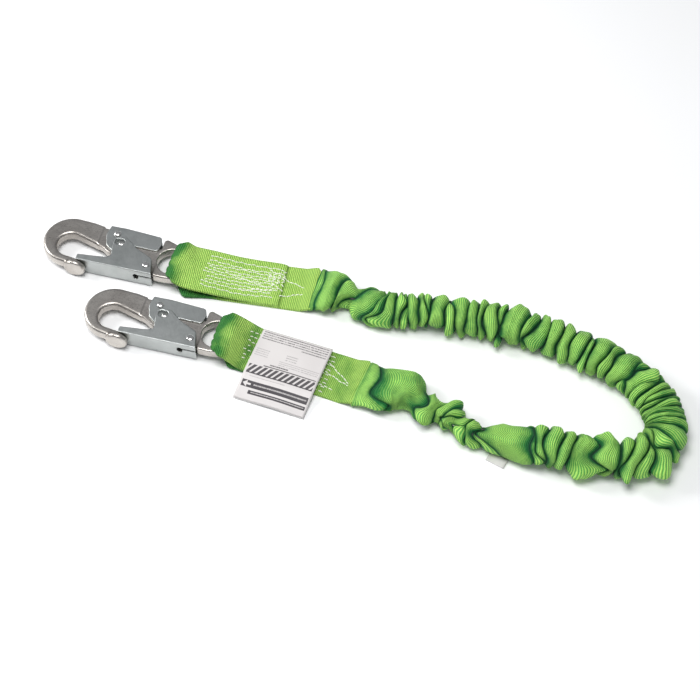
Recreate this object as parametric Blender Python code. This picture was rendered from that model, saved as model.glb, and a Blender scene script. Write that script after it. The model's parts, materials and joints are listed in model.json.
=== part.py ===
"""Shock absorbing lanyard: two locking snap hooks joined by a gathered webbing jacket.

Lengths are millimetres in the driving dimensions and metres in the model.
The lanyard lies on the plane z = 0 and its origin is the middle of its footprint.
Each hook has a frame of its own: u runs from the nose to the eye, v from the gate
to the spine, w is the thickness, and the gate rivet is the zero.
"""
import math

import bmesh
import bpy
from mathutils import Matrix, Vector

MM = 0.001

# ---- hook thicknesses, measured from the hook's middle plane ----
HOOK_MID = 10.0          # height of the middle plane above the floor
BOW_HALF = 6.1
SHANK_HALF = 4.1
EYE_HALF = 4.7
LEVER_IN, LEVER_OUT = 4.5, 5.8
GATE_IN, GATE_OUT = 7.5, 9.0
TONGUE_HALF = 9.6
RUNNING_GAP = 0.3        # clearance between neighbouring pieces

# ---- hook places and pivots (u, v) ----
HOOK_TURN = math.radians(-14.4)
HOOK_PLACES = {"a": (-183.4, 80.3), "b": (-139.4, -0.3)}
GATE_PIVOT = (0.0, 0.0)
LEVER_PIVOT = (-36.9, 29.5)
LOCK_PIN = (-29.8, 19.5)
EYE_BAR = (25.5, 12.5)   # middle of the straight bar that the webbing goes round

# ---- hook outline ----
BOW_CENTRE, BOW_RADIUS = (-76.5, 13.2), 24.2
BOWL_CENTRE, BOWL_RADIUS = (-75.2, 8.6), 12.3
EYE_RADIUS = 13.0
BAR_RADIUS = 4.5
GATE_BASE_OUT, GATE_BASE_IN = -9.0, -7.5
SPRING_HOLE, SPRING_HOLE_RADIUS = (-7.6, -8.25), 2.2   # in the gate's base
PIN_SLOT = (-5.0, 2.8, -3.6, 2.6)   # reach of the pin's slot to each side of the pin: u, u, v, v

# ---- rivets: shaft radius, head radius, head's inner and outer height ----
GATE_RIVET = (2.4, 3.0, GATE_OUT + 0.25, HOOK_MID)
LEVER_RIVET = (2.3, 3.2, LEVER_OUT + RUNNING_GAP, 7.5)
PIN_RIVET = (1.9, 2.7, LEVER_OUT + 0.25, 7.2)

# ---- torsion springs: coil radius, wire radius, and the lever spring's pocket in the shank ----
COIL_RADIUS = 3.9
GATE_WIRE, LEVER_WIRE = 0.4, 0.35
POCKET_RADIUS, POCKET_DEPTH = 5.6, 2.4

# ---- webbing ----
WEB_WIDTH = 47.0
WEB_THICK = 2.4
LOOP_RADIUS = 7.0        # middle of the webbing's thickness round the eye bar
LOOP_WIDTH = 24.5        # the webbing is bunched to this in the eye
LAYER_LOW = 1.5          # height of the lower layer's middle
LAYER_HIGH = 4.25        # height of the doubled-back layer's middle

# Plan routes (x, y) from the eye bar to the jacket's mouth
STRAP_ROUTES = {
    "a": [(-130.0, 80.6), (-95.0, 74.2), (-60.0, 68.0), (-31.0, 62.6)],
    "b": [(-88.0, -1.5), (-55.0, -13.5), (-20.0, -26.8), (10.0, -38.8)],
}
TAIL_LENGTH = {"a": 98.0, "b": 86.0}   # doubled-back length, measured from the bar
MOUTH_REACH, MOUTH_HEIGHT, MOUTH_WIDTH = 7.0, 5.85, 35.0   # how the strap enters the jacket
BUNCH_START, BUNCH_END = 8.5, 22.5     # from the bar: bunched up to the one, full width at the other
SETTLE_REACH = 26.0      # from the bar: the layers lie flat from here on

# Jacket: plan point (x, y), half width, half height
JACKET_ROUTE = [
    (-31.0, 62.6, 26.0, 6.0), (-18.0, 58.6, 20.0, 10.0), (-4.0, 54.0, 15.0, 11.0),
    (11.0, 44.5, 19.0, 12.0), (27.0, 36.5, 17.5, 13.0), (48.0, 34.5, 17.0, 13.0),
    (71.0, 32.5, 16.5, 13.0), (97.0, 27.0, 17.0, 13.5), (124.0, 22.0, 17.5, 13.5),
    (150.0, 15.0, 18.0, 13.5), (176.0, 5.0, 17.0, 13.5), (203.0, -9.0, 17.5, 13.5),
    (228.0, -23.5, 18.0, 13.5), (250.0, -44.0, 18.5, 13.5), (264.0, -68.0, 18.5, 13.5),
    (267.0, -93.0, 18.5, 13.5), (254.0, -113.0, 19.0, 13.0), (230.0, -120.0, 18.5, 13.5),
    (205.0, -116.5, 19.5, 13.5), (180.0, -111.0, 18.5, 13.5), (155.0, -106.5, 18.0, 13.0),
    (134.0, -102.0, 16.0, 12.0), (116.0, -98.0, 13.0, 11.0), (99.0, -90.0, 13.0, 11.5),
    (86.0, -76.0, 13.5, 11.0), (66.0, -68.0, 13.5, 11.0), (53.0, -56.0, 14.5, 11.5),
    (41.0, -48.0, 17.0, 12.0), (26.0, -45.5, 19.0, 10.0), (10.0, -38.8, 26.0, 6.0),
]
JACKET_WALL = 1.5        # at the mouths; further in, the folds fill the space round the core
PASSAGE_WIDTH, PASSAGE_HEIGHT = 8.6, 5.6   # half sizes of the passage that the core runs in
PASSAGE_STATIONS = 3     # stations over which the mouth narrows to the passage
JACKET_SIDES = 14
JACKET_STATIONS = 56
CORE_WIDTH, CORE_THICK = 13.0, 4.0
STRAND_RADIUS, STRAND_SIDE, STRAND_UP = 1.2, 4.2, 3.6

# ---- label and tag ----
LABEL_SIZE = (65.0, 72.0)
LABEL_THICK = 0.8
LABEL_ALONG = 61.5       # label's middle, measured from the eye bar along strap b
TAG_SIZE = (17.0, 10.0, 0.7)
TAG_PLACE = (124.0, -113.6)
TAG_TURN = math.radians(-32.0)

ORIGIN_SHIFT = (-3.816, 1.163)   # moves the footprint's middle to the origin


# ------------------------------------------------------------------ helpers

def clear_scene():
    for old in list(bpy.data.objects):
        bpy.data.objects.remove(old, do_unlink=True)


def new_collection(name):
    made = bpy.data.collections.new(name)
    bpy.context.scene.collection.children.link(made)
    return made


def finish_material(name, colour, roughness, metallic):
    made = bpy.data.materials.new(name)
    made.use_nodes = True
    shader = made.node_tree.nodes["Principled BSDF"]
    shader.inputs["Base Color"].default_value = (*colour, 1.0)
    shader.inputs["Roughness"].default_value = roughness
    shader.inputs["Metallic"].default_value = metallic
    return made


def add_object(name, data, material, parent=None, smooth_angle=None):
    made = bpy.data.objects.new(name, data)
    LANYARD.objects.link(made)
    made.parent = parent
    data.materials.append(material)
    if smooth_angle:
        data.shade_smooth()
        data.set_sharp_from_angle(angle=math.radians(smooth_angle))
    return made


def mesh_from(name, build):
    """A mesh that the function build fills in through bmesh."""
    mesh = bpy.data.meshes.new(name)
    shape = bmesh.new()
    build(shape)
    bmesh.ops.recalc_face_normals(shape, faces=shape.faces)
    shape.to_mesh(mesh)
    shape.free()
    return mesh


def plate_mesh(name, outline, low, high, bevel_mm=0.0, segments=2):
    """A closed plate between two heights, its flat rims bevelled. All in mm."""
    def build(shape):
        corners = [shape.verts.new((u * MM, v * MM, low * MM)) for u, v in outline]
        face = shape.faces.new(corners)
        raised = bmesh.ops.extrude_face_region(shape, geom=[face])["geom"]
        top = [part for part in raised if isinstance(part, bmesh.types.BMVert)]
        bmesh.ops.translate(shape, verts=top, vec=(0.0, 0.0, (high - low) * MM))
        if bevel_mm:
            middle = 0.5 * (low + high) * MM
            rims = [edge for edge in shape.edges
                    if (edge.verts[0].co.z - middle) * (edge.verts[1].co.z - middle) > 0.0]
            bmesh.ops.bevel(shape, geom=rims, offset=bevel_mm * MM, segments=segments,
                            profile=0.5, affect='EDGES', clamp_overlap=True)
    return mesh_from(name, build)


def arc(centre, radius, start, stop, steps):
    """Points on an arc, angles in degrees."""
    turns = [math.radians(start + (stop - start) * i / steps) for i in range(steps + 1)]
    return [(centre[0] + radius * math.cos(t), centre[1] + radius * math.sin(t)) for t in turns]


def rounded(corners, steps=3):
    """An outline from (u, v, radius) corners, each rounded with an arc."""
    outline = []
    for index, (u, v, radius) in enumerate(corners):
        here = Vector((u, v))
        if radius == 0.0:
            outline.append((u, v))
            continue
        before = (Vector(corners[index - 1][:2]) - here).normalized()
        after = (Vector(corners[(index + 1) % len(corners)][:2]) - here).normalized()
        half = 0.5 * before.angle(after)
        reach = radius / math.tan(half)
        centre = here + (before + after).normalized() * (radius / math.sin(half))
        first = here + before * reach - centre
        last = here + after * reach - centre
        sweep = first.angle_signed(last)
        for step in range(steps + 1):
            turn = Matrix.Rotation(-sweep * step / steps, 2)
            point = centre + turn @ first
            outline.append((point.x, point.y))
    return outline


def round_mesh(name, place, radius, low, high, sides=16):
    """A cylinder along w, in mm."""
    return plate_mesh(name, arc(place, radius, 0.0, 360.0 * (sides - 1) / sides, sides - 1),
                      low, high)


def combine(target, mesh, operation, parent):
    """Joins a shape to the target, or cuts it away."""
    tool = bpy.data.objects.new(mesh.name, mesh)
    CUTTERS.objects.link(tool)
    tool.parent = parent
    tool.hide_render = True
    tool.display_type = 'WIRE'
    step = target.modifiers.new(mesh.name, 'BOOLEAN')
    step.operation = operation
    step.solver = 'EXACT'
    step.object = tool


def wire_curve(name, points, radius_mm):
    """A round wire through points given in mm."""
    curve = bpy.data.curves.new(name, 'CURVE')
    curve.dimensions = '3D'
    curve.bevel_depth = radius_mm * MM
    curve.bevel_resolution = 2
    curve.use_fill_caps = True
    spline = curve.splines.new('POLY')
    spline.points.add(len(points) - 1)
    for point, (x, y, z) in zip(spline.points, points):
        point.co = (x * MM, y * MM, z * MM, 1.0)
    return curve


def smooth_route(points, count):
    """Evenly spaced samples of a Catmull-Rom curve through points of any dimension."""
    ends = [tuple(2 * a - b for a, b in zip(points[0], points[1]))]
    tail = [tuple(2 * a - b for a, b in zip(points[-1], points[-2]))]
    knots = ends + list(points) + tail
    fine = []
    for i in range(1, len(knots) - 2):
        for step in range(20):
            t = step / 20.0
            fine.append(tuple(
                0.5 * (2 * b + (c - a) * t + (2 * a - 5 * b + 4 * c - d) * t * t
                       + (3 * b - a - 3 * c + d) * t ** 3)
                for a, b, c, d in zip(*knots[i - 1:i + 3])))
    fine.append(tuple(points[-1]))
    lengths = [0.0]
    for one, two in zip(fine, fine[1:]):
        lengths.append(lengths[-1] + math.dist(one[:2], two[:2]))
    samples = []
    reach = 0
    for index in range(count):
        wanted = lengths[-1] * index / (count - 1)
        while reach < len(fine) - 2 and lengths[reach + 1] < wanted:
            reach += 1
        share = (wanted - lengths[reach]) / (lengths[reach + 1] - lengths[reach])
        samples.append(tuple(p + (q - p) * share for p, q in zip(fine[reach], fine[reach + 1])))
    return samples


def sideways(route):
    """Unit vector to the left of a plan route, at each of its points."""
    lefts = []
    for index in range(len(route)):
        one = route[max(index - 1, 0)]
        two = route[min(index + 1, len(route) - 1)]
        run = Vector((two[0] - one[0], two[1] - one[1])).normalized()
        lefts.append(Vector((-run.y, run.x, 0.0)))
    return lefts


def loft_mesh(name, rings):
    """A closed skin over rings of equal length; a ring is a list of points in mm."""
    def build(shape):
        rows = [[shape.verts.new(Vector(p) * MM) for p in ring] for ring in rings]
        for one, two in zip(rows, rows[1:]):
            for k in range(len(one)):
                n = (k + 1) % len(one)
                shape.faces.new((one[k], one[n], two[n], two[k]))
        shape.faces.new(rows[0][::-1])
        shape.faces.new(rows[-1])
    return mesh_from(name, build)


def ribbon_mesh(name, centres, across, up, widths, thick):
    """A flat band: middle points, directions and widths along it, all in mm."""
    rings = []
    for c, a, n, w in zip(centres, across, up, widths):
        c, half, lift = Vector(c), a * (0.5 * w), n * (0.5 * thick)
        rings.append([c - half - lift, c + half - lift, c + half + lift, c - half + lift])
    return loft_mesh(name, rings)


# ------------------------------------------------------------------ snap hook

def hook_empty(suffix):
    """The hook's own frame: turned in plan, with its middle plane at HOOK_MID."""
    made = bpy.data.objects.new("hook_frame_" + suffix, None)
    LANYARD.objects.link(made)
    x, y = HOOK_PLACES[suffix]
    made.location = Vector((x + ORIGIN_SHIFT[0], y + ORIGIN_SHIFT[1], HOOK_MID)) * MM
    made.rotation_euler = (0.0, 0.0, HOOK_TURN)
    return made


def bow_outline():
    outer = arc(BOW_CENTRE, BOW_RADIUS, 82.0, 262.0, 16)
    inner = arc(BOWL_CENTRE, BOWL_RADIUS, 260.0, 80.0, 12)
    nose = [(-71.0, -12.4), (-64.6, -12.4), (-64.6, -5.2)]
    return [(-50.5, 35.6), (-60.0, 36.9)] + outer + nose + inner + [(-50.5, 14.2)]


def shank_outline():
    return [(-53.0, 35.0), (-46.0, 34.8), (-35.0, 34.0), (-28.0, 31.0), (-5.0, 25.6), (8.0, 24.0),
            (8.0, -5.6), (0.0, -5.8), (-6.0, -4.6), (-20.0, 1.6), (-30.0, 5.0), (-38.0, 7.8),
            (-46.0, 13.0), (-53.0, 16.0)]


def eye_outline():
    return rounded([(6.7, 26.0, 0.0), (6.7, 34.2, 1.2), (9.5, 36.0, 1.5), (21.0, 32.0, 3.0),
                    (30.0, 30.5, 5.0), (30.0, -5.5, 5.0), (18.0, -6.9, 4.0), (6.7, -6.6, 1.2),
                    (6.7, 4.0, 0.0)])


def eye_hole_outline():
    """The D of the eye, run out past the frame: the round bar then closes it."""
    round_part = arc((20.5, EYE_BAR[1]), EYE_RADIUS, 90.0, 270.0, 12)
    return [(34.0, EYE_BAR[1] + EYE_RADIUS)] + round_part + [(34.0, EYE_BAR[1] - EYE_RADIUS)]


def crosswise(mesh, u, v):
    """Turns a shape made along w so that it lies along v, and puts its middle at (u, v)."""
    mesh.transform(Matrix.Translation(Vector((u, v, 0.0)) * MM)
                   @ Matrix.Rotation(math.radians(90.0), 4, 'X'))
    return mesh


def hook_body(suffix, frame):
    """Drop-forged bow, shank and eye, with the cupped tongue that meets the gate."""
    bow = plate_mesh("bow_" + suffix, bow_outline(), -BOW_HALF, BOW_HALF, 2.6, 2)
    body = add_object("hook_body_" + suffix, bow, STEEL, frame, 35)
    shank = plate_mesh("shank_" + suffix, shank_outline(), -SHANK_HALF, SHANK_HALF)
    combine(body, shank, 'UNION', frame)
    eye = plate_mesh("eye_" + suffix, eye_outline(), -EYE_HALF, EYE_HALF, 2.4, 2)
    combine(body, eye, 'UNION', frame)
    tongue_side = rounded([(-72.5, -9.4, 1.0), (-54.6, -9.35, 0.0), (-55.0, -13.0, 1.2),
                           (-58.0, -15.2, 2.0), (-68.0, -15.4, 3.0)])
    tongue = plate_mesh("tongue_" + suffix, tongue_side, -TONGUE_HALF, TONGUE_HALF, 1.8, 2)
    combine(body, tongue, 'UNION', frame)
    hole = plate_mesh("eye_hole_" + suffix, eye_hole_outline(), -8.0, 8.0)
    combine(body, hole, 'DIFFERENCE', frame)
    reach = EYE_RADIUS + 2.5
    bar = round_mesh("eye_bar_" + suffix, (0.0, 0.0), BAR_RADIUS, -reach, reach)
    combine(body, crosswise(bar, *EYE_BAR), 'UNION', frame)
    for place, rivet in ((GATE_PIVOT, GATE_RIVET), (LEVER_PIVOT, LEVER_RIVET)):
        bore = round_mesh("shank_bore_" + suffix, place, rivet[0] + RUNNING_GAP, -8.0, 8.0)
        combine(body, bore, 'DIFFERENCE', frame)
    nose, eye, low, high = PIN_SLOT
    slot = rounded([(LOCK_PIN[0] + u, LOCK_PIN[1] + v, 2.0)
                    for u, v in ((nose, low), (eye, low), (eye, high), (nose, high))])
    combine(body, plate_mesh("pin_slot_" + suffix, slot, -8.0, 8.0), 'DIFFERENCE', frame)
    floor = SHANK_HALF - POCKET_DEPTH
    pocket = round_mesh("spring_pocket_" + suffix, LEVER_PIVOT, POCKET_RADIUS, floor, 8.0)
    combine(body, pocket, 'DIFFERENCE', frame)
    groove = [(-43.6, 28.0), (-37.0, 24.2), (-37.0, 40.0), (-43.6, 40.0)]
    combine(body, plate_mesh("spring_groove_" + suffix, groove, floor, 8.0), 'DIFFERENCE', frame)
    return body


def channel(name, outline, half_out, half_in, hollow_outline, frame, pivot):
    """Pressed channel: an outline as thick as the channel is wide, hollowed from one side."""
    shifted = [(u - pivot[0], v - pivot[1]) for u, v in outline]
    body = add_object(name, plate_mesh(name, shifted, -half_out, half_out), ZINC, frame)
    body.location = (pivot[0] * MM, pivot[1] * MM, 0.0)
    hollow = plate_mesh(name + "_hollow", hollow_outline, -half_in, half_in)
    combine(body, hollow, 'DIFFERENCE', frame)
    return body


def gate(suffix, frame):
    """Keeper: its base closes the bow's mouth and its cheeks straddle the shank."""
    outline = rounded([
        (-63.8, -3.2, 1.6), (-38.5, -0.4, 5.0), (-34.0, 2.6, 2.0), (-36.4, 14.0, 3.0),
        (-36.8, 24.6, 3.0), (-25.0, 24.9, 3.0), (-14.0, 16.0, 4.0), (3.0, 8.0, 4.0),
        (7.4, GATE_BASE_OUT, 0.0), (-63.8, GATE_BASE_OUT, 0.8)])
    hollow = [(-80.0, GATE_BASE_IN), (30.0, GATE_BASE_IN), (30.0, 50.0), (-80.0, 50.0)]
    body = channel("gate_" + suffix, outline, GATE_OUT, GATE_IN, hollow, frame, GATE_PIVOT)
    bore = round_mesh("gate_bore_" + suffix, GATE_PIVOT, GATE_RIVET[0] + RUNNING_GAP, -12.0, 12.0)
    combine(body, bore, 'DIFFERENCE', frame)
    window = rounded([(-35.2, 16.0, 2.6), (-26.6, 16.0, 2.6), (-26.6, 22.8, 2.6),
                      (-35.2, 22.8, 2.6)])
    combine(body, plate_mesh("gate_window_" + suffix, window, -12.0, 12.0), 'DIFFERENCE', frame)
    leg_hole = round_mesh("gate_leg_hole_" + suffix, (0.0, 0.0), SPRING_HOLE_RADIUS, -2.0, 2.0, 12)
    combine(body, crosswise(leg_hole, *SPRING_HOLE), 'DIFFERENCE', frame)
    return body


def lock_lever(suffix, frame):
    """Thumb lever: a channel that caps the spine, with a lobe over the lock pin."""
    outline = rounded([
        (-45.2, 37.5, 1.5), (-29.0, 37.7, 8.0), (3.6, 35.6, 3.5), (6.0, 29.0, 8.0), (4.4, 19.6, 3.0),
        (-18.0, 19.9, 6.0), (-26.0, 13.0, 4.0), (-35.4, 9.8, 2.0), (-43.0, 15.6, 5.0),
        (-46.8, 27.0, 8.0)])
    hollow = [(-60.0, 0.0), (20.0, 0.0), (20.0, 33.5), (-29.0, 36.2), (-60.0, 36.0)]
    body = channel("lock_lever_" + suffix, outline, LEVER_OUT, LEVER_IN, hollow, frame, LEVER_PIVOT)
    for place, rivet in ((LEVER_PIVOT, LEVER_RIVET), (LOCK_PIN, PIN_RIVET)):
        bore = round_mesh("lever_bore_" + suffix, place, rivet[0] + RUNNING_GAP, -12.0, 12.0)
        combine(body, bore, 'DIFFERENCE', frame)
    return body


def rivet(name, place, size, frame):
    """Turned rivet: a shaft with a low domed head at each end."""
    shaft, head, inner, outer = size
    edge = inner + 0.45 * (outer - inner)
    profile = [(0.0, outer), (0.6 * head, outer), (head, edge), (head, inner), (shaft, inner)]
    profile += [(r, -w) for r, w in reversed(profile)]

    def build(shape):
        sides = 14
        rings = [[shape.verts.new((r * MM * math.cos(2 * math.pi * k / sides),
                                   r * MM * math.sin(2 * math.pi * k / sides), w * MM))
                  for k in range(sides)] for r, w in profile[1:-1]]
        for one, two in zip(rings, rings[1:]):
            for k in range(sides):
                n = (k + 1) % sides
                shape.faces.new((one[n], one[k], two[k], two[n]))
        shape.faces.new(rings[0])
        shape.faces.new(rings[-1][::-1])
    made = add_object(name, mesh_from(name, build), STEEL, frame, 40)
    made.location = (place[0] * MM, place[1] * MM, 0.0)
    return made


def coil_points(start, turns, low, high, per_turn=12):
    """A coil round the pivot, rising from one height to the other; start in degrees."""
    steps = int(abs(turns) * per_turn)
    points = []
    for i in range(steps + 1):
        angle = math.radians(start) + 2 * math.pi * turns * i / steps
        points.append((COIL_RADIUS * math.cos(angle), COIL_RADIUS * math.sin(angle),
                       low + (high - low) * i / steps))
    return points


def torsion_spring(name, pivot, points, wire, frame):
    made = add_object(name, wire_curve(name, points, wire), SPRING, frame)
    made.location = (pivot[0] * MM, pivot[1] * MM, 0.0)


def springs(suffix, frame):
    """Torsion springs on the gate rivet and in the shank's pocket on the lever rivet."""
    coil = coil_points(200.0, 2.25, 5.0, 7.0)
    (x, y, z), (end_x, end_y, end_z) = coil[0], coil[-1]
    legs = [(x - 9.5, y + 3.0, z)] + coil + [(end_x - 6.3, end_y - 0.8, end_z)]
    torsion_spring("gate_spring_" + suffix, GATE_PIVOT, legs, GATE_WIRE, frame)
    legs = coil_points(180.0, -2.0, 2.25, 3.55) + [(-4.6, 5.7, 3.6)]
    torsion_spring("lever_spring_" + suffix, LEVER_PIVOT, legs, LEVER_WIRE, frame)


def snap_hook(suffix):
    frame = hook_empty(suffix)
    hook_body(suffix, frame)
    gate(suffix, frame)
    lock_lever(suffix, frame)
    rivet("gate_rivet_" + suffix, GATE_PIVOT, GATE_RIVET, frame)
    rivet("lever_rivet_" + suffix, LEVER_PIVOT, LEVER_RIVET, frame)
    rivet("lock_pin_" + suffix, LOCK_PIN, PIN_RIVET, frame)
    springs(suffix, frame)


# ------------------------------------------------------------------ webbing

def shift(points):
    return [(p[0] + ORIGIN_SHIFT[0], p[1] + ORIGIN_SHIFT[1], *p[2:]) for p in points]


def bar_centre(suffix):
    """Plan place of the eye bar's middle."""
    x, y = HOOK_PLACES[suffix]
    place = Matrix.Rotation(HOOK_TURN, 2) @ Vector(EYE_BAR)
    return Vector((x + ORIGIN_SHIFT[0] + place.x, y + ORIGIN_SHIFT[1] + place.y))


def strap_plan(suffix):
    """Plan route of a strap from the eye bar, leaving it square to the bar."""
    bar = bar_centre(suffix)
    out = Matrix.Rotation(HOOK_TURN, 2) @ Vector((12.0, 0.0))
    first = [(bar.x, bar.y), (bar.x + out.x, bar.y + out.y)]
    return smooth_route(first + shift(STRAP_ROUTES[suffix]), 22)


def strap_width(distance):
    """Bunched in the eye, then full width."""
    share = min(max((distance - BUNCH_START) / (BUNCH_END - BUNCH_START), 0.0), 1.0)
    return LOOP_WIDTH + (WEB_WIDTH - LOOP_WIDTH) * share * share * (3 - 2 * share)


def settle(distance, start, end):
    """Height of a layer as it comes down from the bar to where it lies."""
    share = min(max(distance / SETTLE_REACH, 0.0), 1.0)
    return start + (end - start) * share * share * (3 - 2 * share)


def end_strap(suffix):
    """Webbing from the jacket's mouth, round the eye bar and back over itself."""
    plan = strap_plan(suffix)
    lefts = sideways(plan)
    along = [0.0]
    for one, two in zip(plan, plan[1:]):
        along.append(along[-1] + math.dist(one, two))
    lower, upper = [], []
    for (x, y), left, distance in list(zip(plan, lefts, along))[:-1]:
        low_z = settle(distance, HOOK_MID - LOOP_RADIUS, LAYER_LOW)
        lower.append(((x, y, low_z), left, Vector((0, 0, 1)), strap_width(distance)))
        if distance <= TAIL_LENGTH[suffix]:
            high_z = settle(distance, HOOK_MID + LOOP_RADIUS, LAYER_HIGH)
            upper.append(((x, y, high_z), left, Vector((0, 0, -1)), strap_width(distance)))
    run = Vector((lefts[-1].y, -lefts[-1].x, 0.0))
    mouth = Vector((*plan[-1], MOUTH_HEIGHT))
    lower.append((mouth - run, lefts[-1], Vector((0, 0, 1)), MOUTH_WIDTH))
    lower.append((mouth + run * MOUTH_REACH, lefts[-1], Vector((0, 0, 1)), MOUTH_WIDTH - 4.0))
    back = Vector((-lefts[0].y, lefts[0].x, 0.0))
    bar = Vector((*plan[0], HOOK_MID))
    loop = []
    for step in range(1, 10):
        angle = math.pi * step / 10.0
        spoke = back * math.sin(angle) - Vector((0, 0, 1)) * math.cos(angle)
        loop.append((bar + spoke * LOOP_RADIUS, lefts[0], -spoke, LOOP_WIDTH))
    stations = lower[::-1] + loop + upper
    mesh = ribbon_mesh("end_strap_" + suffix, *zip(*stations), WEB_THICK)
    return add_object("end_strap_" + suffix, mesh, WEBBING)


def jacket_stations():
    """Evenly spaced stations: plan point, left direction, half width, half height."""
    stations = smooth_route(shift(JACKET_ROUTE), JACKET_STATIONS)
    return list(zip(stations, sideways(stations)))


def oval(centre, left, half_width, half_height):
    ring = []
    for k in range(JACKET_SIDES):
        angle = 2 * math.pi * (k + 0.5) / JACKET_SIDES - 0.5 * math.pi
        ring.append(centre + left * (half_width * math.cos(angle))
                    + Vector((0, 0, half_height * math.sin(angle))))
    return ring


def passage(station, half_width, half_height):
    """Half sizes of the jacket's inside: wide at the mouths, then close round the core."""
    inward = min(station, JACKET_STATIONS - 1 - station, PASSAGE_STATIONS)
    share = max(inward - 1, 0) / (PASSAGE_STATIONS - 1)
    width, height = half_width - JACKET_WALL, half_height - JACKET_WALL
    return (width + (min(width, PASSAGE_WIDTH) - width) * share,
            height + (min(height, PASSAGE_HEIGHT) - height) * share)


def jacket():
    """Gathered sleeve lying on the floor, open at both mouths, its folds a thick wall."""
    outer, inner = [], []
    flat = math.cos(math.pi / JACKET_SIDES)
    for station, ((x, y, half_width, half_height), left) in enumerate(jacket_stations()):
        centre = Vector((x, y, half_height * flat))
        outer.append(oval(centre, left, half_width, half_height))
        inner.append(oval(centre, left, *passage(station, half_width, half_height)))
    rings = outer + inner[::-1] + [outer[0]]

    def build(shape):
        rows = [[shape.verts.new(p * MM) for p in ring] for ring in rings[:-1]]
        rows.append(rows[0])
        for one, two in zip(rows, rows[1:]):
            for k in range(JACKET_SIDES):
                n = (k + 1) % JACKET_SIDES
                shape.faces.new((one[k], one[n], two[n], two[k]))
    return add_object("jacket", mesh_from("jacket", build), WEBBING, None, 60)


def core_and_strands():
    """Energy-absorbing core and the two rubber strands, held inside the jacket."""
    stations = jacket_stations()[PASSAGE_STATIONS:-PASSAGE_STATIONS]
    centres = [Vector((x, y, high - 0.8)) for (x, y, _, high), _ in stations]
    lefts = [left for _, left in stations]
    up = Vector((0, 0, 1))
    mesh = ribbon_mesh("energy_core", centres, lefts, [up] * len(centres),
                       [CORE_WIDTH] * len(centres), CORE_THICK)
    add_object("energy_core", mesh, CORE)
    for name, side in (("elastic_strand_inner", -STRAND_SIDE),
                       ("elastic_strand_outer", STRAND_SIDE)):
        points = [c + left * side + up * STRAND_UP for c, left in zip(centres, lefts)]
        add_object(name, wire_curve(name, points, STRAND_RADIUS), RUBBER)


def label():
    """Printed booklet: flat over strap b, its free edge drooping to the floor."""
    plan = strap_plan("b")
    length = math.dist(plan[0], plan[-1])
    run = Vector((plan[-1][0] - plan[0][0], plan[-1][1] - plan[0][1], 0.0)) / length
    left = Vector((-run.y, run.x, 0.0))
    middle = Vector((*plan[0], 0.0)) + run * LABEL_ALONG
    half_web = 0.5 * WEB_WIDTH
    rest = LAYER_HIGH + 0.5 * WEB_THICK + RUNNING_GAP + 0.5 * LABEL_THICK
    free_edge = half_web - LABEL_SIZE[1] + 1.0
    profile = [(half_web + 1.0, rest), (0.0, rest), (-half_web - 1.0, rest),
               (-half_web - 6.0, rest - 1.4), (free_edge + 7.0, 2.2), (free_edge, 1.0)]
    centres, ups = [], []
    for index, (side, height) in enumerate(profile):
        before = profile[max(index - 1, 0)]
        after = profile[min(index + 1, len(profile) - 1)]
        slope = Vector((after[0] - before[0], after[1] - before[1])).normalized()
        centres.append(middle + left * side + Vector((0, 0, height)))
        ups.append(left * slope.y - Vector((0, 0, 1)) * slope.x)
    mesh = ribbon_mesh("label", centres, [run] * len(centres), ups,
                       [LABEL_SIZE[0]] * len(centres), LABEL_THICK)
    add_object("label", mesh, PAPER)


def inspection_tag():
    long, wide, thick = TAG_SIZE
    corners = [(side * long / 2, end * wide / 2) for side, end in ((-1, -1), (1, -1), (1, 1), (-1, 1))]
    tag = add_object("inspection_tag", plate_mesh("inspection_tag", corners, 0.0, thick), PAPER)
    place = shift([TAG_PLACE])[0]
    tag.location = (place[0] * MM, place[1] * MM, 0.3 * MM)
    tag.rotation_euler = (0.0, 0.0, TAG_TURN)


clear_scene()
LANYARD = new_collection("shock_absorbing_lanyard")
CUTTERS = new_collection("cutters")
STEEL = finish_material("forged_steel", (0.42, 0.40, 0.37), 0.42, 1.0)
ZINC = finish_material("zinc_plate", (0.48, 0.50, 0.50), 0.38, 1.0)
SPRING = finish_material("spring_wire", (0.30, 0.30, 0.31), 0.30, 1.0)
WEBBING = finish_material("green_webbing", (0.22, 0.56, 0.09), 0.80, 0.0)
CORE = finish_material("core_yarn", (0.72, 0.70, 0.62), 0.85, 0.0)
RUBBER = finish_material("rubber_strand", (0.05, 0.05, 0.05), 0.70, 0.0)
PAPER = finish_material("label_paper", (0.85, 0.84, 0.82), 0.60, 0.0)

for hook_suffix in HOOK_PLACES:
    snap_hook(hook_suffix)
    end_strap(hook_suffix)
jacket()
core_and_strands()
label()
inspection_tag()
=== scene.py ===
"""Shock absorbing lanyard: two snap hooks joined by a gathered green webbing jacket."""
import json
import math
import random

import bmesh
import bpy
import numpy as np
from mathutils import Matrix, Vector, noise


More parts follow.
